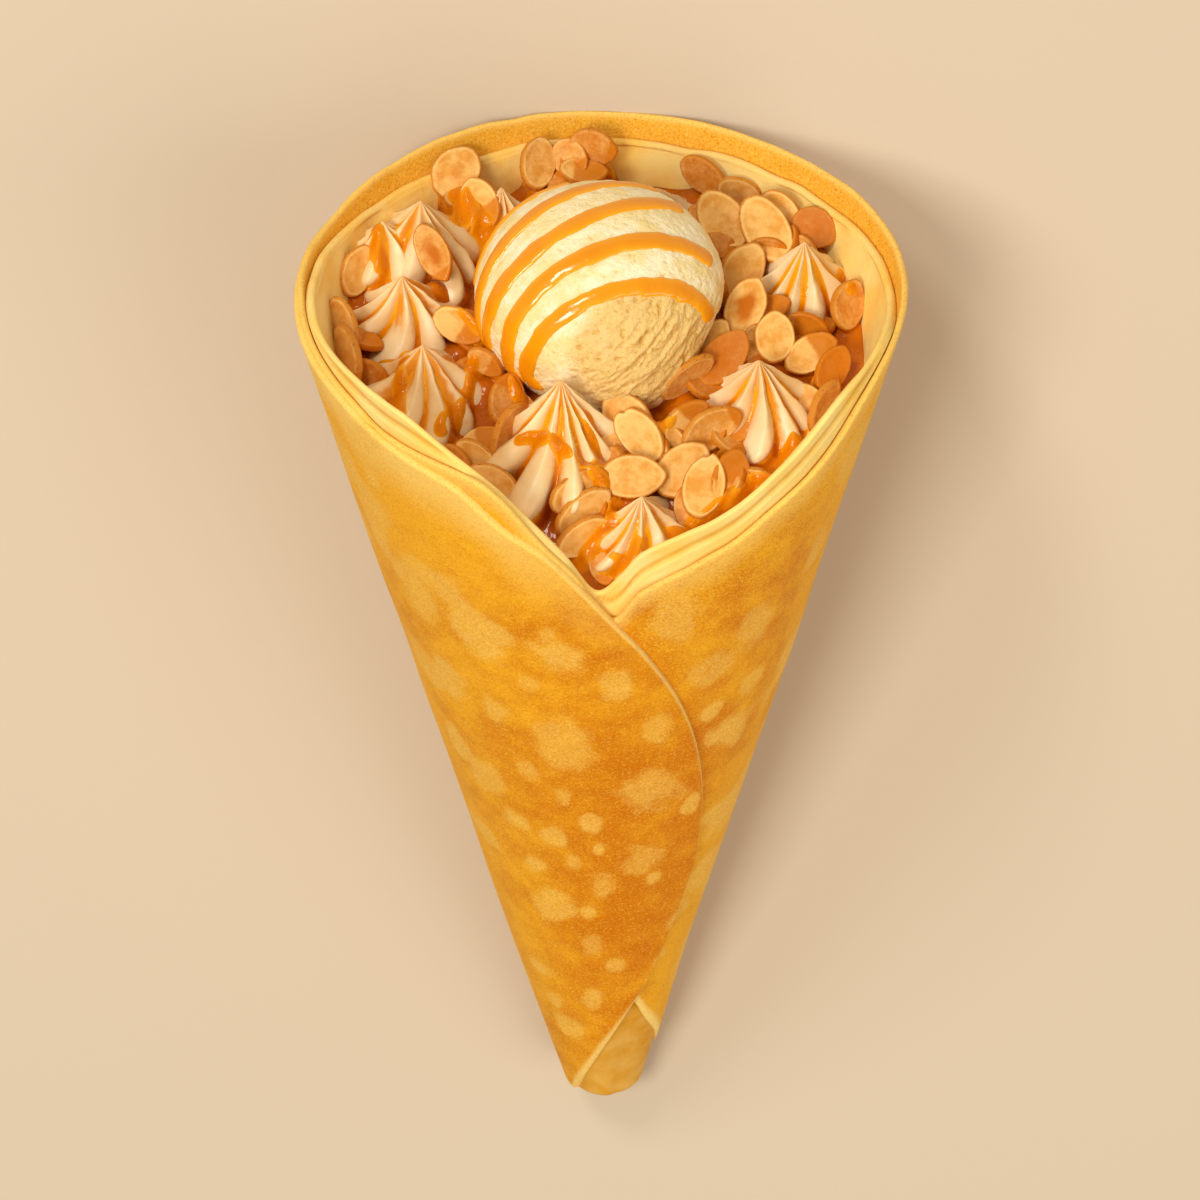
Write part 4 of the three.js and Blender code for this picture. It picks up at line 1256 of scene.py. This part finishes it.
@dataclass
class AlmondFlakes:
    """The toasted almond slices, each a thin oval with a rounded rim that comes to a soft point."""

    thickness: float = 1.5
    around: int = 36
    point: float = 0.3
    slope_lift: float = 49.0
    below_by: float = 2.6
    ball_middle: float = 9.0
    clear_of_ball: float = 24.0
    broken_from: float = 0.45
    seed: int = 5
    # Shares of the outline's reach and of half the thickness, from the middle of the top to the bottom's
    profile: tuple = (
        (0, 0.84), (0.3, 0.85), (0.6, 0.88), (0.77, 0.94), (0.86, 1), (0.92, 0.99), (0.965, 0.88),
        (0.99, 0.62), (1, 0.2), (1, -0.2), (0.99, -0.62), (0.965, -0.88), (0.85, -0.98), (0.4, -1), (0, -1),
    )

    def strewn(self) -> list[Flake]:
        """The placed slices, and smaller ones that lie under and between them, by a seeded rule.

        A smaller one is kept where it is clear of the wall, the rosettes and the ball.

        Returns:
            All slices, the placed ones first.
        """
        random = np.random.default_rng(self.seed)
        below = []
        for flake in FLAKES:
            for _ in range(2):
                way, far = random.uniform(0, 2 * math.pi), random.uniform(2.5, 5)
                turn, roll, length = random.uniform(-90, 90), random.uniform(-45, 45), random.uniform(8, 11)
                # The slices below are browner and more glazed than most placed ones, partly as painted shade
                # under them
                toast, glaze = random.uniform(0.2, 0.75), random.choice((0.3, 0.5, 0.7))
                x, y = flake.x + far * math.cos(way), flake.y + far * math.sin(way)
                up = flake.up - self.below_by
                inside = math.hypot(x, y) < CONE.slope * (heap_height(x, y) + up) - CONE.wall - length / 2
                clear = all(math.hypot(x - r.x, y - r.y) > 0.7 * r.radius for r in ROSETTES)
                clear = clear and math.hypot(x, y - self.ball_middle) > self.clear_of_ball
                if up > 1 and inside and clear:
                    below.append(Flake(x, y, up, turn, roll, length, toast=toast, heart=0.1, glaze=glaze))
        return FLAKES + below

    def outline(self, flake: Flake, number: int, t: np.ndarray, random: np.random.Generator) -> np.ndarray:
        """How far a slice's outline reaches, as a share of its oval: chipped or broken if it is notched.

        Args:
            flake: the slice.
            number: chooses its unevenness.
            t: angles round it, from its point.
            random: the slice's own random numbers.

        Returns:
            The share at each angle.
        """
        ring = np.stack([2 * np.cos(t), 2 * np.sin(t), np.full_like(t, 9.0 * number)], axis=-1)
        uneven = 1 + 0.035 * lattice_noise(ring, 0.9, seed=71) + 0.02 * lattice_noise(ring, 0.3, seed=72)
        end = random.choice((0.0, math.pi))
        nick = (t - random.uniform(-0.5, 0.5) - (0 if end else math.pi) + math.pi) % (2 * math.pi) - math.pi
        uneven = uneven - 0.35 * flake.notch * np.exp(-((nick / 0.16) ** 2))
        if flake.notch > self.broken_from:
            ragged = 1 + 0.1 * lattice_noise(ring, 0.22, seed=73)
            uneven = np.minimum(uneven, 0.72 * ragged / np.maximum(np.cos(t + 0.3), 0.3))
        return uneven

    def surface(self, flake: Flake, number: int) -> Surface:
        """One slice: an oval drawn in to a point, and slightly cupped.

        Args:
            flake: the slice.
            number: chooses its unevenness.

        Returns:
            [rows, columns, 3] points in the cone's frame, and the values that the finish reads.
        """
        random = np.random.default_rng(100 + number)
        t = np.linspace(-math.pi, math.pi, self.around, endpoint=False)[:, None]
        uneven = self.outline(flake, number, t, random)
        narrow = 1 - self.point * np.exp(-((t / 0.75) ** 2))
        shares, levels = np.array(self.profile).T
        along = np.cos(t) * uneven * shares * flake.length / 2
        across = np.sin(t) * narrow * uneven * shares * flake.length * flake.breadth / 2
        thick = self.thickness * random.uniform(0.85, 1.15)
        cup = random.uniform(-0.5, 0.8) * ((along / flake.length * 2) ** 2 - 0.4)
        cup = cup + random.uniform(0.0, 0.5) * (across / flake.length * 2) ** 2
        spots = np.stack([along, across, np.full_like(along, 5.0 * number)], axis=-1)
        height = thick / 2 * levels + cup + 0.06 * layered_noise(spots, 3, seed=74, layers=2)
        lift = math.radians(self.slope_lift)
        up = np.array([0, math.sin(lift), math.cos(lift)])
        back = np.array([0, -math.cos(lift), math.sin(lift)])
        turn, roll = math.radians(flake.turn), math.radians(flake.roll)
        long = math.cos(turn) * np.array([1.0, 0, 0]) + math.sin(turn) * up
        broad = np.cross(back, long) * math.cos(roll) + back * math.sin(roll)
        facing = np.cross(long, broad)
        points = along[..., None] * long + across[..., None] * broad + height[..., None] * facing
        coated = 1 - 2 * flake.glaze
        all_over = np.ones_like(along)
        values = {
            "toast": all_over * flake.toast,
            "heart": flake.heart * np.clip(1 - (shares / 0.78) ** 2, 0, 1) * all_over,
            "rim": shares * all_over,
            "glaze": smoothstep(np.cos(t) * shares, coated - 0.2, coated + 0.2) * (flake.glaze != 0),
        }
        return points + flake.centre(), values

    def build(self) -> list[np.ndarray]:
        """Makes all the slices as one piece and dresses it.

        Returns:
            Each slice's grid of points.
        """
        maker = MeshMaker()
        strewn = [self.surface(flake, number) for number, flake in enumerate(self.strewn())]
        for points, values in strewn:
            maker.grid(points, rows_meet=True, **values)
        material = AlmondFinish().material("toasted_almond")
        nodes = ("caramel_filling_with_flakes", "rosette_back_left")
        settle(maker.made("almond_flakes"), material, Slot.CARAMEL.value, *nodes)
        return [points for points, _ in strewn]


# ---------------------------------------------------------------- the caramel sauce


def dense(points: np.ndarray, times: int) -> np.ndarray:
    """A grid of points with more between them, on straight lines both ways."""
    for axis in (0, 1):
        ends = np.moveaxis(points, axis, 0)
        steps = [ends[:-1] + (ends[1:] - ends[:-1]) * k / times for k in range(times)]
        filled = np.stack(steps, axis=1).reshape(-1, *ends.shape[1:])
        points = np.moveaxis(np.concatenate([filled, ends[-1:]]), 0, axis)
    return points


@dataclass
class Relief:
    """Heights over a plane through the cone's apex that is tilted towards the lap, on a square raster."""

    tilt: float = 25.0
    cell: float = 0.35
    left: float = -63.0
    near: float = 28.0
    columns: int = 360
    rows: int = 380
    margin: int = 30
    first_guess: float = 200.0
    rounds: int = 25

    def axes(self) -> np.ndarray:
        """The plane's own directions as rows: to the right, to the back and up from the plane."""
        c, s = math.cos(math.radians(self.tilt)), math.sin(math.radians(self.tilt))
        return np.array([[1, 0, 0], [0, c, s], [0, -s, c]])

    def onto(self, points: np.ndarray) -> np.ndarray:
        """Points of the cone's frame as right, back and height over the plane."""
        return points @ self.axes().T

    def off(self, places: np.ndarray) -> np.ndarray:
        """Right, back and height over the plane as points of the cone's frame."""
        return places @ self.axes()

    def cells(self) -> tuple[np.ndarray, np.ndarray]:
        """Right and back of each of the raster's cells."""
        right = self.left + self.cell * np.arange(self.columns)
        back = self.near + self.cell * np.arange(self.rows)
        return np.meshgrid(right, back)

    def bed(self) -> np.ndarray:
        """The heap's height over the plane at each cell, found by repeated substitution."""
        right, back = self.cells()
        up, along = self.axes()[2, 2], self.axes()[1, 2]
        height = np.full(right.shape, self.first_guess)
        for _ in range(self.rounds):
            y = back * up - height * along
            height = (heap_height(right, y) - back * along) / up
        return height

    def raised(self, heights: np.ndarray, points: np.ndarray) -> np.ndarray:
        """Heights raised to points that lie above them."""
        right, back, up = np.moveaxis(self.onto(points), -1, 0)
        column = np.rint((right - self.left) / self.cell).astype(int)
        row = np.rint((back - self.near) / self.cell).astype(int)
        known = (column >= 0) & (column < self.columns) & (row >= 0) & (row < self.rows)
        raised = heights.copy()
        np.maximum.at(raised, (row[known], column[known]), up[known])
        return raised

    def blurred(self, heights: np.ndarray, spread: float) -> np.ndarray:
        """Heights smoothed by a Gaussian of a spread in millimetres, by way of their spectrum."""
        wide = np.pad(heights, self.margin, mode="edge")
        rows, columns = wide.shape
        waves = np.fft.fftfreq(rows)[:, None] ** 2 + np.fft.rfftfreq(columns) ** 2
        drop = np.exp(-2 * (math.pi * spread / self.cell) ** 2 * waves)
        smooth = np.fft.irfft2(np.fft.rfft2(wide) * drop, wide.shape)
        return smooth[self.margin:-self.margin, self.margin:-self.margin]

    def sampled(self, heights: np.ndarray, right: np.ndarray, back: np.ndarray) -> np.ndarray:
        """Heights between the cells, blended from the four around."""
        column = np.clip((right - self.left) / self.cell, 0, self.columns - 1.001)
        row = np.clip((back - self.near) / self.cell, 0, self.rows - 1.001)
        i, j = row.astype(int), column.astype(int)
        di, dj = row - i, column - j
        near = heights[i, j] * (1 - dj) + heights[i, j + 1] * dj
        far = heights[i + 1, j] * (1 - dj) + heights[i + 1, j + 1] * dj
        return near * (1 - di) + far * di


# Drizzles over the toppings: [(x, y), ...] at drizzle height over the heap, half width, thickness
DRIZZLES = [
    ([(-37, 42), (-41, 38), (-43, 32), (-44, 25), (-43, 17)], 1.5, 1.1),
    ([(-29, 38), (-26, 33), (-22, 29), (-20, 26)], 2.6, 1.2),
    ([(-29, 8), (-25, 4), (-20, -1), (-18, -7), (-16, -12)], 1.8, 1.2),
    ([(-38, -5), (-39, -11), (-39, -16), (-38, -21)], 1.3, 0.9),
    ([(-25, -5), (-26, -11), (-28, -17)], 1.2, 0.9),
    ([(-29, -15), (-31, -19), (-29, -20)], 1.3, 0.9),
    ([(-16, -24), (-13, -24), (-9, -26), (-3, -29), (0, -31)], 1.3, 1.0),
    ([(-3, -20), (-2, -24), (-1, -28)], 1.2, 0.9),
    ([(2, -34), (1, -38), (-3, -42), (-5, -45)], 1.3, 0.9),
    ([(2, -44), (5, -45), (7, -42)], 1.3, 0.9),
    ([(47, 21), (48, 14)], 1.6, 1.0),
    ([(11, -20), (15, -16), (20, -15), (23, -17)], 1.5, 1.0),
    ([(14, -40), (22, -35), (30, -29.5), (37, -21.5)], 2.2, 1.0),
]


@dataclass
class CaramelFilling:
    """The caramel filling with the sauce that lies between, and runs over, what stands on it."""

    crepe: CrepeWrap
    relief: Relief = field(default_factory=Relief)
    drizzle_height: float = 9.0
    floor: float = 63.0
    into_wall: float = 0.5
    across: int = 236
    middle: tuple = (0.0, 4.0, 214.0)
    farthest: float = 75.0
    halvings: int = 30
    film: float = 0.4
    mound_spread: float = 4.2
    mound_drop: float = 3.3
    between: float = 1.9
    bead_film: float = 0.25
    side_depth: float = 3.0
    pool_spread: float = 3.2
    pool_drop: float = 4.2
    glaze_spread: float = 0.8
    glaze_drop: float = 0.22

    def mounded(self) -> np.ndarray:
        """The bed with a mound under each placed flake above it, a bell whose top is just below the flake."""
        right, back = self.relief.cells()
        bed = self.relief.bed()
        x, y, _ = np.moveaxis(self.relief.off(np.stack([right, back, bed], axis=-1)), -1, 0)
        risen = np.zeros(bed.shape)
        for flake in FLAKES:
            away = ((x - flake.x) ** 2 + (y - flake.y) ** 2) / self.mound_spread**2
            risen = np.maximum(risen, (flake.up - self.mound_drop) * np.exp(-away))
        return bed + risen * self.relief.axes()[2, 2]

    def tops(self, bed: np.ndarray, toppings: list[np.ndarray]) -> np.ndarray:
        """The upper envelope of a bed and what stands on it."""
        heights = bed
        for points in toppings:
            heights = self.relief.raised(heights, dense(points, 3).reshape(-1, 3))
        return heights

    def drizzled(self, tops: np.ndarray) -> np.ndarray:
        """Heights of the drizzles: along each smooth line a bead whose height falls off as a parabola."""
        right, back = self.relief.cells()
        soft = self.relief.blurred(tops, 0.7)
        beads = np.full(tops.shape, -np.inf)
        for number, (line, half_width, thickness) in enumerate(DRIZZLES):
            order = np.arange(len(line), dtype=float)
            steps = np.linspace(0, order[-1], len(line) * 8)
            x, y = (through(np.column_stack([order, part]), steps) for part in np.asarray(line, float).T)
            over_heap = np.stack([x, y, heap_height(x, y) + self.drizzle_height], axis=-1)
            spots = self.relief.onto(over_heap)
            away = np.full(tops.shape, np.inf)
            for a, b in zip(spots[:-1, :2], spots[1:, :2]):
                run = b - a
                share = ((right - a[0]) * run[0] + (back - a[1]) * run[1]) / (run @ run)
                share = np.clip(share, 0, 1)
                away = np.minimum(away, np.hypot(right - a[0] - share * run[0], back - a[1] - share * run[1]))
            places = np.stack([right, back, np.full_like(right, 7.0 * number)], axis=-1)
            width = half_width * (1 + 0.25 * lattice_noise(places, 4, 80 + number))
            beads = np.maximum(beads, soft + thickness * (1 - np.minimum(away / width, 3) ** 2))
        return beads

    def levels(self, piped: list[np.ndarray], strewn: list[np.ndarray]) -> tuple[np.ndarray, np.ndarray]:
        """The sauce's height over the relief's plane and its depth over what lies under it.

        The height is the greatest of a film over the heap, pools below the widely smoothed tops, a thin glaze
        in the valleys below the finely smoothed tops, and the drizzles. Over the cream the depth is the
        sauce's own. Elsewhere it lies on caramel and looks deep. On both, the depth is raised in the hollows
        among the toppings, which paints shade there. A drizzle's depth is its own over all that it crosses,
        so it is thin at its edges.

        Args:
            piped: grids of points of the piped cream, which the glaze clings to.
            strewn: grids of points of the flakes.

        Returns:
            Height and depth at each cell.
        """
        bed = self.mounded()
        cream = self.tops(bed, piped)
        tops = self.tops(cream, strewn)
        right, back = self.relief.cells()
        places = np.stack([right, back, np.zeros_like(right)], axis=-1)
        film = bed + self.film + 0.3 * layered_noise(places, 8, seed=90, layers=2)
        pools = self.relief.blurred(cream, self.pool_spread) - self.pool_drop
        pools = pools + 0.8 * lattice_noise(places, 12, seed=93)
        patch = smoothstep(lattice_noise(places, 9, seed=95), -0.1, 0.5)
        glaze = self.relief.blurred(cream, self.glaze_spread) - self.glaze_drop - 0.5 * (1 - patch)
        level = np.maximum(np.maximum(film, pools), glaze)
        beads = self.drizzled(tops)
        height = self.relief.blurred(np.maximum(level, beads), 0.3)
        # hollow: how far the tops around stand above the sauce; the depth it adds is painted shade
        hollow = np.clip(self.relief.blurred(tops, 2.5) - height - 0.5, 0, 6)
        on_cream = smoothstep(cream - bed, 0.3, 1.2)
        over_cream = np.clip(height - cream, 0, 1.5) + 0.5 * hollow
        depth = on_cream * over_cream + (1 - on_cream) * (self.between + 0.8 * hollow)
        beaded = smoothstep(beads - level, 0.0, 0.4)
        bead = self.bead_film + np.clip(height - tops, 0, 1.4)
        return height, depth + beaded * (bead - depth)

    def reach(self, height: np.ndarray, middle: np.ndarray, way: np.ndarray) -> np.ndarray:
        """How far the sauce reaches from the middle to just inside the wall, by halving.

        Args:
            height: the sauce's height at each cell.
            middle: right and back of the middle.
            way: angles in radians.

        Returns:
            The distance for each angle.
        """
        low, high = np.zeros_like(way), np.full_like(way, self.farthest)
        for _ in range(self.halvings):
            half = (low + high) / 2
            right, back = middle[0] + half * np.cos(way), middle[1] + half * np.sin(way)
            levels = self.relief.sampled(height, right, back)
            points = self.relief.off(np.stack([right, back, levels], axis=-1))
            wall = self.wall(CONE.turn_of(points), points[..., 2])
            within = np.hypot(points[..., 0], points[..., 1]) < wall
            low, high = np.where(within, half, low), np.where(within, high, half)
        return low

    def wall(self, turn: np.ndarray, z: np.ndarray) -> np.ndarray:
        """Radius of the filling's side, sunk a little into the lining."""
        return self.crepe.skin(turn, z) - CONE.wall + self.into_wall

    def build(self, piped: list[np.ndarray], strewn: list[np.ndarray]) -> None:
        """Makes the filling down to the hollow's floor and dresses it.

        A square grid is rounded to a disc, point (p, q) going to p times the root of 1 - q²/2 and likewise
        for q, and stretched to the wall; its border runs down the wall to the floor.

        Args:
            piped: grids of points of the piped cream.
            strewn: grids of points of the flakes.
        """
        height, depth = self.levels(piped, strewn)
        middle = self.relief.onto(np.array(self.middle))[:2]
        p, q = np.meshgrid(np.linspace(-1, 1, self.across), np.linspace(-1, 1, self.across))
        right, back = p * np.sqrt(1 - q**2 / 2), q * np.sqrt(1 - p**2 / 2)
        way, share = np.arctan2(back, right), np.hypot(right, back)
        every = np.linspace(-math.pi, math.pi, 721)
        reach = np.interp(way, every, self.reach(height, middle, every)) * share
        right, back = middle[0] + reach * np.cos(way), middle[1] + reach * np.sin(way)
        levels = self.relief.sampled(height, right, back)
        points = self.relief.off(np.stack([right, back, levels], axis=-1))
        border = [(0, slice(0, -1)), (slice(0, -1), -1), (-1, slice(-1, 0, -1)), (slice(-1, 0, -1), 0)]
        ring = np.concatenate([points[side] for side in border])
        turn = CONE.turn_of(ring)[:, None]
        z = ring[:, 2:] + np.array([0.06, 0.2, 0.45, 0.72, 1.0]) * (self.floor - ring[:, 2:])
        side = CONE.polar(turn, self.wall(turn, z), z)
        foot = np.broadcast_to(np.array([0, 0, self.floor]), (len(ring), 1, 3))
        down = np.concatenate([ring[:, None], side, foot], axis=1)
        maker = MeshMaker()
        maker.grid(points, depth=self.relief.sampled(depth, right, back))
        maker.grid(down, rows_meet=True, depth=self.side_depth)
        material = CaramelFinish().material("caramel_sauce")
        settle(maker.made("caramel_filling"), material, Slot.CARAMEL.value, "caramel_filling_with_flakes")


# ---------------------------------------------------------------- the studio


@dataclass
class Studio:
    """The floor, the lights and the camera."""

    camera_lift: float = 38.0
    camera_distance: float = 1000.0
    lens: float = 150.0
    sensor: float = 36.0
    target: tuple = (-0.664, 0.0, 161.657)
    floor_half: float = 3.0
    ground: tuple = paint(208, 193, 173)
    sky: tuple = (1.0, 0.85, 0.63, 1.0)
    sky_strength: float = 0.42
    # Each lamp's name, place and side in metres, power in watts and tint
    lamps: tuple = (
        ("key", (-0.55, 0.4, 1.55), 0.5, 15.0, (1.0, 0.95, 0.86)),
        ("mouth", (-0.5, 1.1, 0.95), 0.3, 6.0, (1.0, 0.96, 0.88)),
        ("fill", (0.9, -0.4, 1.1), 1.0, 7.5, (1.0, 0.94, 0.85)),
    )

    def floor(self) -> None:
        """A wide flat floor, which isn't part of the object."""
        half = self.floor_half
        mesh = bpy.data.meshes.new("studio_floor")
        corners = [(-half, -half, 0), (half, -half, 0), (half, half, 0), (-half, half, 0)]
        mesh.from_pydata(corners, [], [(0, 1, 2, 3)])
        piece = bpy.data.objects.new("studio_floor", mesh)
        bpy.context.scene.collection.objects.link(piece)
        s = Shader("studio_paper")
        s.set(Base_Color=self.ground, Roughness=0.9, Specular_IOR_Level=0.1)
        piece.data.materials.append(s.material)

    def lamp(self, name: str, place: tuple, size: float, power: float, tint: tuple) -> None:
        """A square lamp that faces the cone.

        Args:
            name: the lamp's name.
            place: its place in metres.
            size: its side in metres.
            power: its power in watts.
            tint: its colour.
        """
        light = bpy.data.lights.new(name, "AREA")
        light.size, light.energy, light.color = size, power, tint
        lamp = bpy.data.objects.new(name, light)
        lamp.location = place
        lamp.rotation_euler = (-Vector(place)).to_track_quat("-Z", "Y").to_euler()
        bpy.context.scene.collection.objects.link(lamp)

    def camera(self) -> None:
        """The camera, at a distance from a place on the cone's axis and lifted from square on to the lap."""
        lift = math.radians(self.camera_lift)
        aim = Vector(self.target)
        eye = aim + self.camera_distance * Vector((0, -math.cos(lift), math.sin(lift)))
        aim_at, eye_at = (Vector(CONE.lay(np.array(spot))) for spot in (aim, eye))
        gaze = (aim_at - eye_at).normalized()
        up = Matrix.Rotation(CONE.tilt(), 3, "X") @ Vector((0, math.sin(lift), math.cos(lift)))
        turn = Matrix((gaze.cross(up), up, -gaze)).transposed().to_4x4()
        data = bpy.data.cameras.new("studio_camera")
        data.lens, data.sensor_width = self.lens, self.sensor
        camera = bpy.data.objects.new("studio_camera", data)
        camera.matrix_world = Matrix.Translation(eye_at) @ turn
        bpy.context.scene.collection.objects.link(camera)
        bpy.context.scene.camera = camera

    def build(self) -> None:
        """Sets up the whole studio."""
        self.floor()
        for lamp in self.lamps:
            self.lamp(*lamp)
        self.camera()
        scene = bpy.context.scene
        world = bpy.data.worlds.new("studio_sky")
        world.use_nodes = True
        sky = world.node_tree.nodes["Background"].inputs
        sky["Color"].default_value, sky["Strength"].default_value = self.sky, self.sky_strength
        scene.world = world
        scene.view_settings.view_transform = "Standard"


# ---------------------------------------------------------------- everything


def main() -> None:
    """Builds every piece in order."""
    logging.basicConfig(level=logging.INFO, format="%(message)s")
    crepe = CrepeWrap()
    crepe.build()
    cream = CreamFinish().material("piped_cream")
    piped = [rosette.build(cream) for rosette in ROSETTES]
    Scoop().build()
    strewn = AlmondFlakes().build()
    CaramelFilling(crepe).build(piped, strewn)
    Studio().build()


if __name__ == "__main__":
    main()
